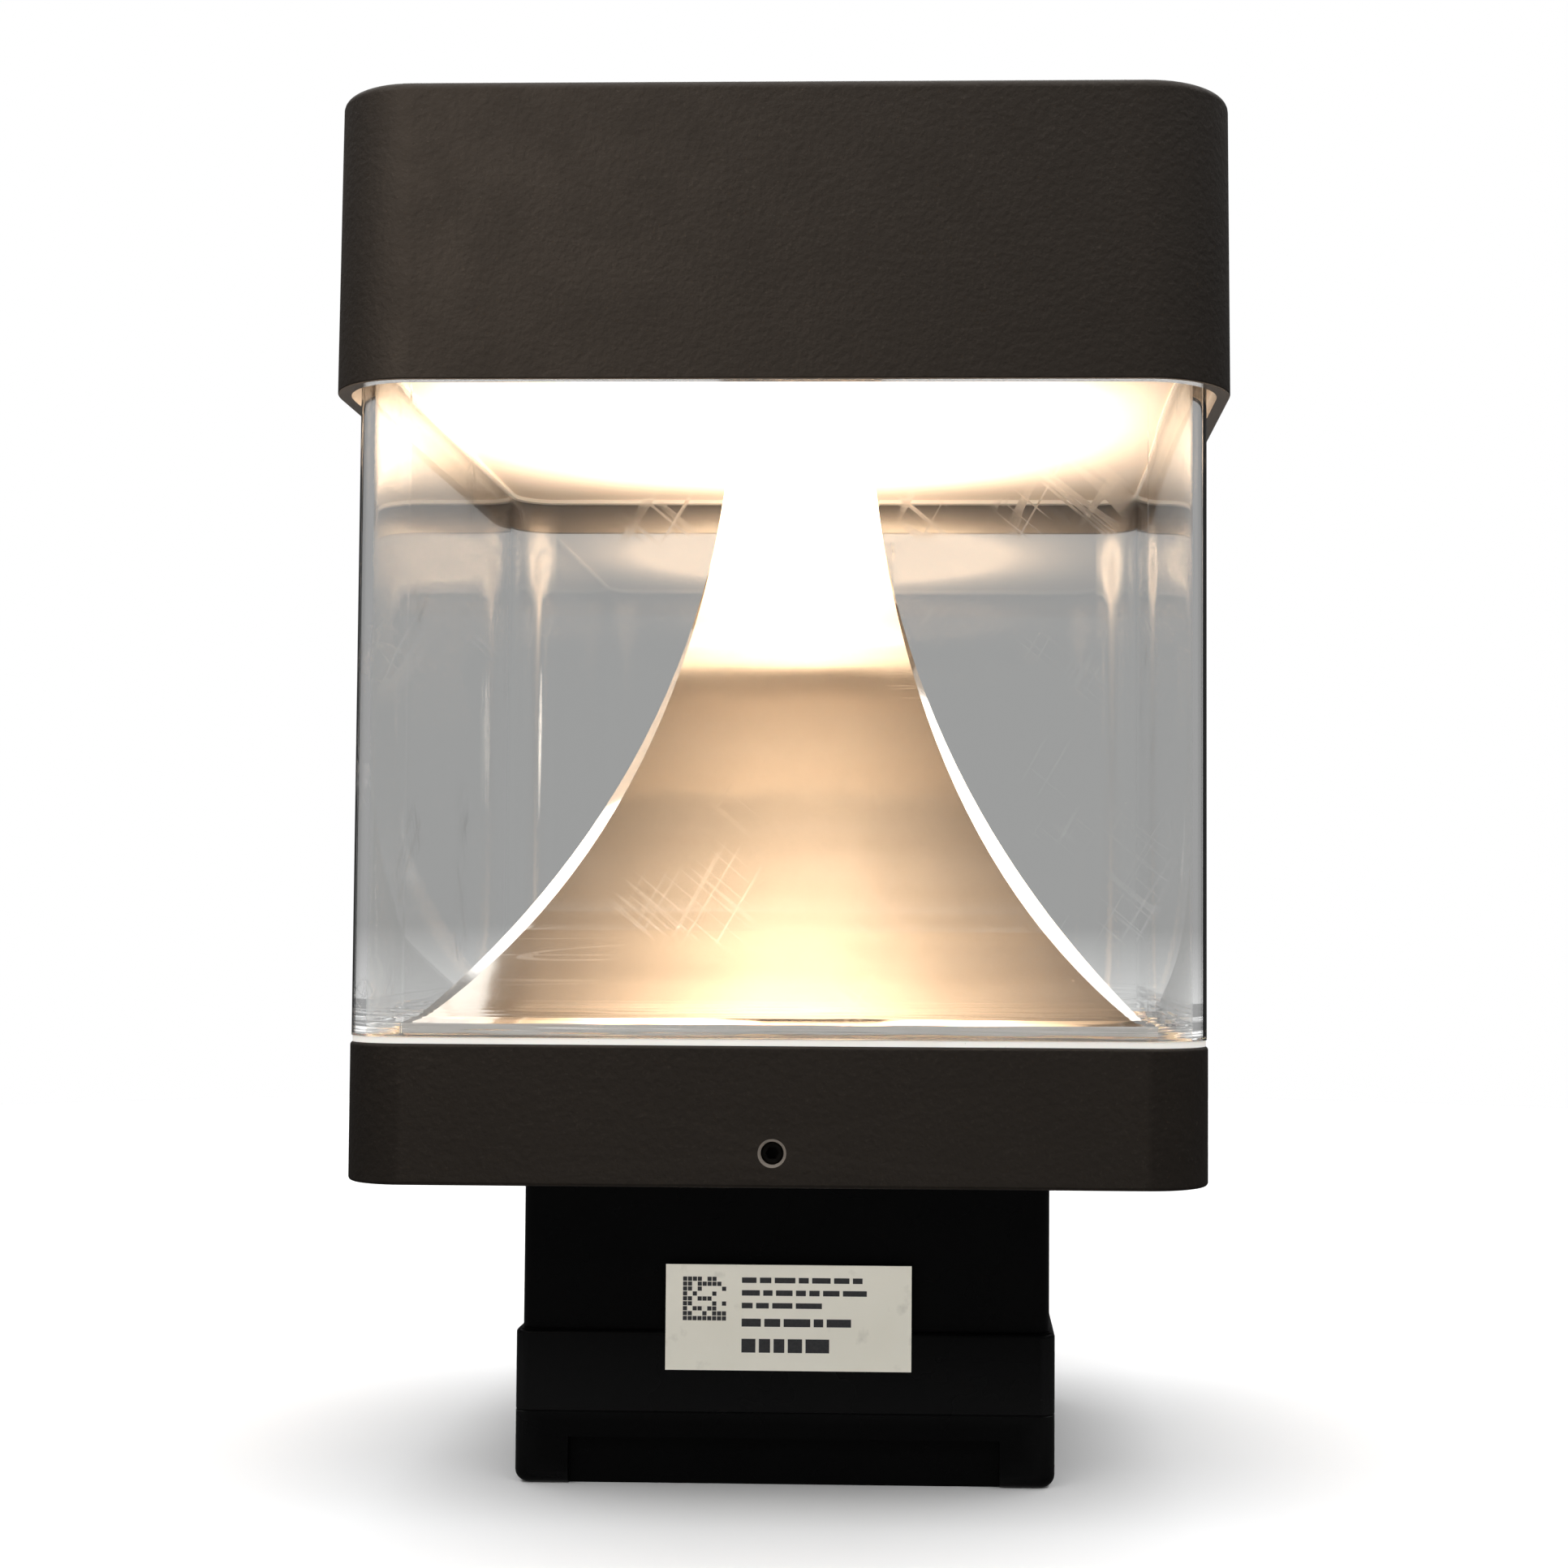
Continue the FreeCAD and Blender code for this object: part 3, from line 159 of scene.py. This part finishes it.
def scratches(tree, scale, lean, width=0.02):
    """Straight hairlines, leaning from upright by 'lean' degrees on the front, back and side faces."""
    normal = add(tree, "SeparateXYZ", {"Vector": add(tree, "NewGeometry").outputs["Normal"]})
    across = maths(tree, "ABSOLUTE", normal.outputs["X"])
    on_front = maths(tree, "GREATER_THAN", maths(tree, "ABSOLUTE", normal.outputs["Y"]), across)
    lines = []
    for turn in ((lean, 0, 0), (0, lean, 0)):
        level = maths(tree, "ABSOLUTE", maths(tree, "SUBTRACT", drawn_out(tree, scale, turn), 0.5))
        lines.append(maths(tree, "LESS_THAN", level, width))
    line = ramp(tree, on_front, 0.0, 1.0, *lines)
    patch = ramp(tree, noise(tree, 30.0, 1.0), 0.60, 0.68)
    return maths(tree, "MULTIPLY", line, patch)


def bump(tree, height, strength, distance, normal=None):
    """A surface raised by 'height', on top of the bumps already in 'normal'."""
    inputs = {"Height": height, "Strength": strength, "Distance": distance}
    if normal is not None:
        inputs["Normal"] = normal
    return add(tree, "Bump", inputs).outputs["Normal"]


def start(name, **values):
    """A material with one Principled shader, and its uniform values set on the shader itself."""
    material = bpy.data.materials.new(name)
    material.use_nodes = True
    tree = material.node_tree
    shader = tree.nodes["Principled BSDF"]
    for key, value in values.items():
        socket = shader.inputs[key.replace("_", " ")]
        socket.default_value = (*value, 1.0) if isinstance(value, tuple) else value
    return material, tree, shader


def feed(tree, shader, **sockets):
    """Links output sockets to the shader's inputs of the same names."""
    for key, socket in sockets.items():
        tree.links.new(socket, shader.inputs[key.replace("_", " ")])


# ---- materials --------------------------------------------------------------------------
def vectors(tree, operation, first, second=(0, 0, 0)):
    """One Vector Math node on two vectors."""
    return add(tree, "VectorMath", {0: first, 1: second}, operation=operation).outputs["Vector"]


def length(tree, vector):
    return add(tree, "VectorMath", {0: vector}, operation="LENGTH").outputs["Value"]


def reach_in_cap(tree):
    """How far out in the cap: it grows to CAP_CORNER at the outer face, on the corners too."""
    flat = vectors(tree, "ABSOLUTE", place_in(tree, (1, 1, 0)))
    straight = CAP_HIGH.x - CAP_CORNER
    past = vectors(tree, "SUBTRACT", flat, (straight, straight, 0))
    return length(tree, vectors(tree, "MAXIMUM", past))


def height_in(tree):
    """Height above the frame's origin, in metres."""
    return add(tree, "SeparateXYZ", {"Vector": place_in(tree)}).outputs["Z"]


def inside_cap(tree):
    """1 on the cap's inner faces and the underside of its rim, and 0 outside."""
    in_cap = maths(tree, "GREATER_THAN", height_in(tree), CAP_LOW.z - 0.5 * MM)
    within = maths(tree, "LESS_THAN", reach_in_cap(tree), CAP_CORNER - 1.5 * MM)
    underside = maths(tree, "LESS_THAN", height_in(tree), CAP_LOW.z + 0.2 * MM)
    return maths(tree, "MULTIPLY", maths(tree, "MAXIMUM", within, underside), in_cap)


def screw_mouths(tree):
    """1 on the chamfered mouths of the four set-screw holes, which are painted paler: partly paint worn
    to bare metal, partly a painted highlight of the lit chamfer.
    """
    rings = 0.0
    for turn in (0, 90):
        place = place_in(tree, (1, 1, 1), (0, 0, turn))
        offset = vectors(tree, "SUBTRACT", place, (0, 0, SCREW_LOW.z + SET_SCREW_RADIUS))
        reach = length(tree, vectors(tree, "MULTIPLY", offset, (1, 0, 1)))
        mouth = maths(tree, "COMPARE", reach, SET_SCREW_RADIUS + 0.3 * MM)
        mouth.node.inputs[2].default_value = 0.33 * MM
        rings = maths(tree, "MAXIMUM", mouth, rings)
    return rings


def powder_coat():
    """Fine textured near-black bronze paint, thinner and glossier inside the cap, where it is also
    painted lighter and warmer: partly thinner paint, partly painted lamp light on the inner skirt.
    """
    material, tree, shader = start("powder_coat", Specular_IOR_Level=0.5, Specular_Tint=(1.0, 0.86, 0.74),
                                   Coat_Roughness=0.12)
    tone = mix(tree, noise(tree, 28.0, 4.0), (0.0048, 0.0035, 0.0027), (0.0066, 0.0050, 0.0038))
    grain = noise(tree, 1500.0, 2.0)
    tone = mix(tree, ramp(tree, grain, 0.62, 0.75, 0.0, 0.4), tone, (0.028, 0.022, 0.017))
    edge = ramp(tree, add(tree, "NewGeometry").outputs["Pointiness"], 0.52, 0.58, 0.0, 0.3)
    tone = mix(tree, edge, tone, (0.03, 0.025, 0.02))
    dust = specks(tree, 95.0, 0.035, 0.12)
    tone = mix(tree, maths(tree, "MULTIPLY", dust, 0.4), tone, (0.25, 0.23, 0.20))
    # paler hole mouths: worn bare metal and a painted highlight on the chamfer
    tone = mix(tree, screw_mouths(tree), tone, (0.16, 0.14, 0.12))
    inside = inside_cap(tree)
    # lighter, warmer tone inside the cap and under its rim: partly thinner paint, partly painted lamp
    # light
    tone = mix(tree, inside, tone, (0.10, 0.075, 0.055))
    peel = noise(tree, 620.0, 3.0)
    depth = ramp(tree, inside, 0.0, 1.0, 1.0, 0.15)
    surface = bump(tree, maths(tree, "MULTIPLY", peel, depth), 0.55, 0.00035)
    surface = bump(tree, maths(tree, "MULTIPLY", grain, depth), 0.35, 0.00012, surface)
    rough = ramp(tree, noise(tree, 90.0, 3.0), 0.3, 0.7, 0.62, 0.69)
    rough = ramp(tree, inside, 0.0, 1.0, rough, 0.20)
    feed(tree, shader, Base_Color=tone, Roughness=rough, Normal=surface, Coat_Weight=inside)
    return material


def clear_lens():
    """Clear plastic with faint scratches, slight waves and a little dust."""
    material, tree, shader = start("clear_lens", IOR=1.49, Transmission_Weight=1.0)
    marks = maths(tree, "MAXIMUM", scratches(tree, 170.0, 30), scratches(tree, 210.0, -50))
    dust = specks(tree, 120.0, 0.03, 0.12)
    tone = mix(tree, dust, (0.955, 0.96, 0.955), (0.99, 0.99, 0.98))
    rough = maths(tree, "ADD", maths(tree, "MULTIPLY", marks, 0.18), 0.004)
    surface = bump(tree, noise(tree, 9.0, 1.0), 0.08, 0.0008)
    foot = ramp(tree, height_in(tree), LENS_LOW.z + 2 * MM, LENS_LOW.z + 8 * MM, 1.0, 0.0)
    ripples = maths(tree, "MULTIPLY", noise(tree, 40.0, 2.0, (0.4, 0.4, 12)), foot)
    surface = bump(tree, ripples, 0.6, 0.0005, surface)
    feed(tree, shader, Base_Color=tone, Roughness=rough, Normal=surface)
    return material


MIRROR_FOOT_SHADE = 38 * MM       # how far up its foot the flare is darkened, as painted shade on its reflection


def mirror_coat():
    """Metallised plastic: a little wavy, darker at the foot as painted shade on its reflection, with
    dust, wipe marks and fine scratches.
    """
    material, tree, shader = start("mirror_coat", Metallic=1.0)
    haze = noise(tree, 14.0, 3.0, (1, 1, 0.35))
    marks = maths(tree, "MAXIMUM", scratches(tree, 150.0, 90, 0.010), scratches(tree, 190.0, 86, 0.010))
    wipes = noise(tree, 60.0, 3.0, (0.25, 0.25, 4))
    dust = specks(tree, 110.0, 0.035, 0.3)
    tone = mix(tree, haze, (0.85, 0.82, 0.77), (0.92, 0.89, 0.86))
    tone = mix(tree, ramp(tree, wipes, 0.35, 0.65, 0.0, 0.12), tone, (0.72, 0.64, 0.55))
    tone = mix(tree, maths(tree, "MULTIPLY", marks, 0.2), tone, (0.98, 0.95, 0.90))
    # painted shade: the flare's reflection darkened towards its foot
    film = ramp(tree, height_in(tree), LENS_LOW.z, LENS_LOW.z + MIRROR_FOOT_SHADE, 0.28, 0.0)
    tone = mix(tree, film, tone, (0.10, 0.09, 0.08))
    rough = ramp(tree, haze, 0.3, 0.75, 0.03, 0.09)
    rough = maths(tree, "ADD", rough, maths(tree, "MULTIPLY", maths(tree, "MAXIMUM", marks, dust), 0.04))
    waves = noise(tree, 22.0, 2.0, (1, 1, 0.6))
    surface = bump(tree, waves, 0.1, 0.0006)
    surface = bump(tree, dust, 0.4, 0.0001, surface)
    feed(tree, shader, Base_Color=tone, Roughness=rough, Normal=surface)
    return material


LAMP_COLOUR = (1.0, 0.70, 0.45)
LAMP_CENTRE = 9.5           # emission strength over the emitters
LAMP_HOT_RADIUS = 63 * MM   # out to here
LAMP_FALL = 15.7 * MM       # and beyond it the glow falls e times in each such step
LAMP_MIDDLE = (-7 * MM, -11 * MM, 0)    # of the bright part
LAMP_SEAM = 1.3 * MM        # width of the darker seam where the plate meets the cap


def lamp_glow(tree):
    """The lit plate's strength: even over the emitters, falling off towards the corners."""
    radius = length(tree, vectors(tree, "SUBTRACT", place_in(tree, (1, 1, 0)), LAMP_MIDDLE))
    past = maths(tree, "MAXIMUM", maths(tree, "SUBTRACT", radius, LAMP_HOT_RADIUS), 0.0)
    fall = maths(tree, "EXPONENT", maths(tree, "MULTIPLY", past, -1 / LAMP_FALL))
    cloud = ramp(tree, noise(tree, 30.0, 2.0), 0.3, 0.7, 0.95, 1.05)
    edge = CAP_CORNER - (CAP_HIGH.x - OPAL_HIGH.x)
    seam = ramp(tree, reach_in_cap(tree), edge - LAMP_SEAM, edge - 0.4 * LAMP_SEAM, 1.0, 0.15)
    even = maths(tree, "MULTIPLY", cloud, seam)
    return maths(tree, "MULTIPLY", maths(tree, "MULTIPLY", fall, LAMP_CENTRE), even)


def opal():
    """The lit plate: milky, faintly clouded and grained, with a tan base colour that is painted lamp
    light.
    """
    # tan base colour: painted lamp light, warmer and darker than the plate's own milky white
    material, tree, shader = start("opal", Base_Color=(0.45, 0.34, 0.24), Roughness=0.35)
    colour = mix(tree, noise(tree, 12.0), LAMP_COLOUR, tuple(0.97 * c for c in LAMP_COLOUR))
    surface = bump(tree, noise(tree, 400.0, 2.0), 0.1, 0.0001)
    feed(tree, shader, Emission_Color=colour, Emission_Strength=lamp_glow(tree), Normal=surface)
    return material


def emitter():
    """Phosphor over the lamp's chips."""
    material, tree, shader = start("emitter", Roughness=0.3, Emission_Strength=30.0)
    tone = mix(tree, noise(tree, 900.0), (0.95, 0.80, 0.35), (0.98, 0.88, 0.5))
    feed(tree, shader, Base_Color=tone, Emission_Color=tone)
    return material


def white_silicone():
    """White rubber. Where the lens's top seal lies under the lit plate it has a painted glow that follows
    the plate's.
    """
    material, tree, shader = start("white_silicone", Subsurface_Weight=0.1, Subsurface_Scale=0.001,
                                   Emission_Color=LAMP_COLOUR)
    at_top = maths(tree, "GREATER_THAN", height_in(tree), LENS_HIGH.z - 1 * MM)
    # painted glow on the seal's top, following the lamp plate's strength
    lit = maths(tree, "MULTIPLY", lamp_glow(tree), at_top)
    tone = mix(tree, noise(tree, 120.0), (0.80, 0.78, 0.73), (0.90, 0.88, 0.84))
    tone = mix(tree, specks(tree, 700.0, 0.05, 0.1), tone, (0.35, 0.32, 0.28))
    rough = ramp(tree, noise(tree, 300.0), 0.3, 0.7, 0.45, 0.6)
    surface = bump(tree, noise(tree, 800.0), 0.2, 0.0001)
    feed(tree, shader, Base_Color=tone, Roughness=rough, Normal=surface, Emission_Strength=lit)
    return material


def moulded(name, dark, light, low, high, grain_scale=1400.0, depth=0.00008, **values):
    """Moulded plastic or rubber: two close tones, uneven gloss and a fine moulded grain."""
    material, tree, shader = start(name, **values)
    tone = mix(tree, noise(tree, 45.0, 4.0), dark, light)
    edge = ramp(tree, add(tree, "NewGeometry").outputs["Pointiness"], 0.52, 0.6, 0.0, 0.3)
    tone = mix(tree, edge, tone, tuple(min(1.0, 2.2 * c + 0.01) for c in light))
    rough = ramp(tree, noise(tree, 60.0, 3.0), 0.3, 0.7, low, high)
    surface = bump(tree, noise(tree, grain_scale, 3.0), 0.3, depth)
    feed(tree, shader, Base_Color=tone, Roughness=rough, Normal=surface)
    return material


def metal(name, dark, light, low, high, stretch=(1, 1, 1)):
    """Bare or plated metal with faint brushing, tarnish and brighter edges."""
    material, tree, shader = start(name, Metallic=1.0)
    lines = noise(tree, 600.0, 3.0, stretch)
    tone = mix(tree, noise(tree, 50.0, 4.0), dark, light)
    edge = ramp(tree, add(tree, "NewGeometry").outputs["Pointiness"], 0.52, 0.6, 0.0, 0.5)
    tone = mix(tree, edge, tone, tuple(min(1.0, 1.25 * c) for c in light))
    rough = ramp(tree, lines, 0.3, 0.7, low, high)
    surface = bump(tree, lines, 0.2, 0.00006)
    feed(tree, shader, Base_Color=tone, Roughness=rough, Normal=surface)
    return material


def board(name, dark, light):
    """A circuit board's solder mask, with its weave just showing."""
    material, tree, shader = start(name, Roughness=0.3)
    weave = add(tree, "TexBrick", {"Vector": place_in(tree), "Scale": 900.0, "Mortar Size": 0.05})
    tone = mix(tree, noise(tree, 80.0), dark, light)
    surface = bump(tree, weave.outputs["Fac"], 0.15, 0.00005)
    feed(tree, shader, Base_Color=tone, Normal=surface)
    return material


def winding(name, dark, light, pitch):
    """Turns of wire or tape: fine bands with a rounded section."""
    material, tree, shader = start(name, Roughness=0.35)
    bands = add(tree, "TexWave", {"Vector": place_in(tree), "Scale": pitch, "Distortion": 0.4})
    tone = mix(tree, bands.outputs["Fac"], dark, light)
    surface = bump(tree, bands.outputs["Fac"], 0.5, 0.0002)
    feed(tree, shader, Base_Color=tone, Normal=surface)
    return material


def label_film():
    """Off-white film, a little yellowed and smudged."""
    material, tree, shader = start("label_film", Specular_IOR_Level=0.4)
    tone = mix(tree, noise(tree, 60.0, 4.0), (0.83, 0.80, 0.68), (0.90, 0.87, 0.77))
    smudge = ramp(tree, noise(tree, 160.0, 4.0), 0.62, 0.75, 0.0, 0.35)
    tone = mix(tree, smudge, tone, (0.40, 0.38, 0.32))
    rough = ramp(tree, noise(tree, 200.0), 0.3, 0.7, 0.32, 0.5)
    surface = bump(tree, noise(tree, 900.0), 0.15, 0.00005)
    feed(tree, shader, Base_Color=tone, Roughness=rough, Normal=surface)
    return material


def label_ink():
    """Dark print, a little uneven."""
    material, tree, shader = start("label_ink", Roughness=0.5)
    tone = mix(tree, noise(tree, 1500.0, 3.0), (0.02, 0.02, 0.022), (0.06, 0.06, 0.064))
    feed(tree, shader, Base_Color=tone)
    return material


# Each row: name, dark tone, light tone, smoothest and roughest.
METALS = (
    ("tray_metal", (0.62, 0.58, 0.52), (0.74, 0.70, 0.64), 0.3, 0.45),
    ("zinc_steel", (0.50, 0.50, 0.48), (0.66, 0.66, 0.63), 0.25, 0.42),
    ("black_steel", (0.018, 0.017, 0.016), (0.035, 0.033, 0.03), 0.35, 0.5),
)
PLASTICS = (
    ("black_rubber", (0.008, 0.008, 0.008), (0.014, 0.014, 0.014), 0.6, 0.8),
    ("lead_jacket", (0.62, 0.61, 0.58), (0.74, 0.73, 0.70), 0.45, 0.6),
    ("white_nylon", (0.66, 0.65, 0.60), (0.78, 0.77, 0.72), 0.4, 0.55),
    ("transistor_epoxy", (0.012, 0.012, 0.012), (0.02, 0.02, 0.02), 0.45, 0.6),
    ("ferrite", (0.022, 0.022, 0.024), (0.04, 0.04, 0.042), 0.4, 0.55),
    ("capacitor_sleeve", (0.008, 0.012, 0.04), (0.014, 0.02, 0.06), 0.25, 0.35),
    ("selector_plastic", (0.50, 0.03, 0.02), (0.62, 0.05, 0.03), 0.35, 0.5),
)


def case_plastic():
    """Satin black plastic that reflects little."""
    return moulded("case_plastic", (0.0018, 0.0018, 0.0019), (0.0030, 0.0030, 0.0031), 0.22, 0.34,
                   Specular_IOR_Level=0.14)


def spreader_metal():
    """Rolled sheet with level brush lines."""
    return metal("spreader_metal", (0.6, 0.6, 0.61), (0.75, 0.75, 0.76), 0.3, 0.5, (1, 1, 8))


def make_materials():
    """One material for each slot of the record."""
    materials = {
        "powder_coat": powder_coat(),
        "clear_lens": clear_lens(),
        "mirror_coat": mirror_coat(),
        "opal": opal(),
        "emitter": emitter(),
        "white_silicone": white_silicone(),
        "label_film": label_film(),
        "case_plastic": case_plastic(),
        "spreader_metal": spreader_metal(),
        "copper": winding("copper", (0.35, 0.13, 0.06), (0.72, 0.36, 0.2), 500.0),
        "winding_tape": winding("winding_tape", (0.52, 0.38, 0.05), (0.72, 0.56, 0.1), 220.0),
        "board_green": board("board_green", (0.01, 0.09, 0.03), (0.02, 0.14, 0.05)),
        "board_white": board("board_white", (0.74, 0.73, 0.70), (0.82, 0.81, 0.78)),
    }
    materials.update({row[0]: metal(*row) for row in METALS})
    materials.update({row[0]: moulded(*row) for row in PLASTICS})
    return materials


def dress_cad_nodes(materials):
    """Gives each CAD node the material of its slot in the record."""
    slot_of = {row["node"]: row["material_slot"] for row in frame["record"]["subparts"]}
    for name, piece in frame["nodes"].items():
        material = materials[slot_of[name]]
        if not piece.material_slots:
            piece.data.materials.append(material)
        for place in piece.material_slots:
            place.material = material


# ---- pieces -----------------------------------------------------------------------------
def new_piece(name, builder, material):
    """An object made from a mesh builder, linked to the scene."""
    mesh = bpy.data.meshes.new(name)
    builder.to_mesh(mesh)
    builder.free()
    mesh.materials.append(material)
    piece = bpy.data.objects.new(name, mesh)
    bpy.context.scene.collection.objects.link(piece)
    return piece


INK_DEPTH = 0.03 * MM
# Rows of bars: top edge and height as shares of the label's height, length as a share of its width.
PRINT_ROWS = (
    (0.88, 0.052, 0.50),
    (0.76, 0.052, 0.50),
    (0.64, 0.052, 0.30),
    (0.49, 0.075, 0.42),
    (0.30, 0.13, 0.36),
)
PRINT_LEFT = 0.31           # share of the label's width
WORD_SHARES = (0.035, 0.11)  # shortest and longest bar, as shares of the label's width
WORD_GAP = 0.014            # share of the label's width
DOTS_LEFT = 0.07            # share of the label's width
DOTS_LOW = 0.47             # share of the label's height
DOTS_HEIGHT = 0.42          # share of the label's height
DOT_CELLS = 9               # in each row and column of the dot pattern
DOT_SHARE = 0.86            # of a cell's width
# A bar's faces, by its corners: four at the front and the same four at the back.
BAR_SIDES = ((0, 1, 2, 3), (7, 6, 5, 4), (0, 4, 5, 1), (1, 5, 6, 2), (2, 6, 7, 3), (3, 7, 4, 0))


def add_bar(builder, x, z, width, height):
    """One closed raised bar on the label's front, with its lower left corner at x, z."""
    outline = ((x, z), (x + width, z), (x + width, z + height), (x, z + height))
    depths = (LABEL_LOW.y - INK_DEPTH, LABEL_LOW.y)
    corners = [builder.verts.new((px, y, pz)) for y in depths for px, pz in outline]
    for side in BAR_SIDES:
        builder.faces.new([corners[k] for k in side])


def add_print_row(builder, top, tall, length):
    """Bars of random lengths, like words, from the row's left end to at least its length."""
    width = LABEL_HIGH.x - LABEL_LOW.x
    height = LABEL_HIGH.z - LABEL_LOW.z
    left = LABEL_LOW.x + PRINT_LEFT * width
    x = left
    while x < left + length * width:
        word = random.uniform(*WORD_SHARES) * width
        add_bar(builder, x, LABEL_LOW.z + (top - tall) * height, word, tall * height)
        x += word + WORD_GAP * width


def add_dot_pattern(builder):
    """Square dots in a grid: full along two edges and random inside."""
    left = LABEL_LOW.x + DOTS_LEFT * (LABEL_HIGH.x - LABEL_LOW.x)
    height = LABEL_HIGH.z - LABEL_LOW.z
    low = LABEL_LOW.z + DOTS_LOW * height
    cell = DOTS_HEIGHT * height / DOT_CELLS
    dot = DOT_SHARE * cell
    for row in range(DOT_CELLS):
        for column in range(DOT_CELLS):
            if row == 0 or column == 0 or random.random() < 0.5:
                add_bar(builder, left + column * cell, low + row * cell, dot, dot)


def make_label_print():
    """Plain bars in rows where a rating label has print, and a square dot pattern beside them."""
    random.seed(7)
    builder = bmesh.new()
    for row in PRINT_ROWS:
        add_print_row(builder, *row)
    add_dot_pattern(builder)
    label_print = new_piece("label_print", builder, label_ink())
    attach(label_print, "head")


# ---- studio -----------------------------------------------------------------------------
ROOM_LIGHT = 0.38           # the room's strength above the horizon
ROOM_BELOW = 0.72           # below it
ROOM_GLOSS = 0.07           # in reflections
BACKDROP = 1.0              # as the camera sees it
FLOOR_RADIUS = 1.2


def make_world():
    """A white backdrop to the camera, and a dim one to the rays that light, reflect and pass the lens."""
    world = bpy.data.worlds.new("studio")
    world.use_nodes = True
    bpy.context.scene.world = world
    tree = world.node_tree
    background = tree.nodes["Background"]
    direction = add(tree, "TexCoord").outputs["Generated"]
    height = add(tree, "SeparateXYZ", {"Vector": direction}).outputs["Z"]
    room = ramp(tree, height, -0.03, 0.0, ROOM_BELOW, ROOM_LIGHT)
    path = add(tree, "LightPath")
    through = maths(tree, "SUBTRACT", 1.0, path.outputs["Is Transmission Ray"])
    mirrored = maths(tree, "MULTIPLY", path.outputs["Is Glossy Ray"], through)
    room = ramp(tree, mirrored, 0.0, 1.0, room, ROOM_GLOSS)
    room = ramp(tree, path.outputs["Is Camera Ray"], 0.0, 1.0, room, BACKDROP)
    background.inputs["Color"].default_value = (1.0, 1.0, 1.0, 1.0)
    tree.links.new(room, background.inputs["Strength"])


def make_floor():
    """A pale matt disc under the part. It doesn't show in reflections."""
    builder = bmesh.new()
    bmesh.ops.create_circle(builder, cap_ends=True, segments=128, radius=FLOOR_RADIUS)
    material, tree, shader = start("floor", Roughness=0.9, Specular_IOR_Level=0.1)
    feed(tree, shader, Base_Color=mix(tree, noise(tree, 3.0), (0.88, 0.88, 0.88), (0.90, 0.90, 0.90)))
    floor = new_piece("floor", builder, material)
    floor.visible_glossy = False


def area_light(name, place, target, size, power):
    """A rectangular light at 'place', facing 'target'."""
    data = bpy.data.lights.new(name, "AREA")
    data.shape = "RECTANGLE"
    data.size, data.size_y = size
    data.energy = power
    light = bpy.data.objects.new(name, data)
    light.location = place
    light.rotation_mode = "QUATERNION"
    light.rotation_quaternion = (Vector(target) - Vector(place)).to_track_quat("-Z", "Y")
    bpy.context.scene.collection.objects.link(light)
    return light


def make_lights():
    """Two soft lights overhead, and a small warm one on the front left of the cap."""
    area_light("overhead", (0, 0.65, 1.6), (0, 0.65, 0), (3.4, 2.3), 50.0)
    front = area_light("overhead_front", (0, -1.05, 1.6), (0, -1.05, 0), (3.4, 1.1), 26.0)
    front.visible_transmission = False
    left = area_light("left_soft", (-0.38, -0.80, 0.52), (-0.10, -0.10, 0.31), (0.15, 0.15), 0.12)
    left.data.color = (1.0, 0.90, 0.80)
    left.data.spread = math.radians(32)


make_camera()
bpy.context.scene.view_settings.view_transform = "Standard"
dress_cad_nodes(make_materials())
make_label_print()
make_world()
make_floor()
make_lights()
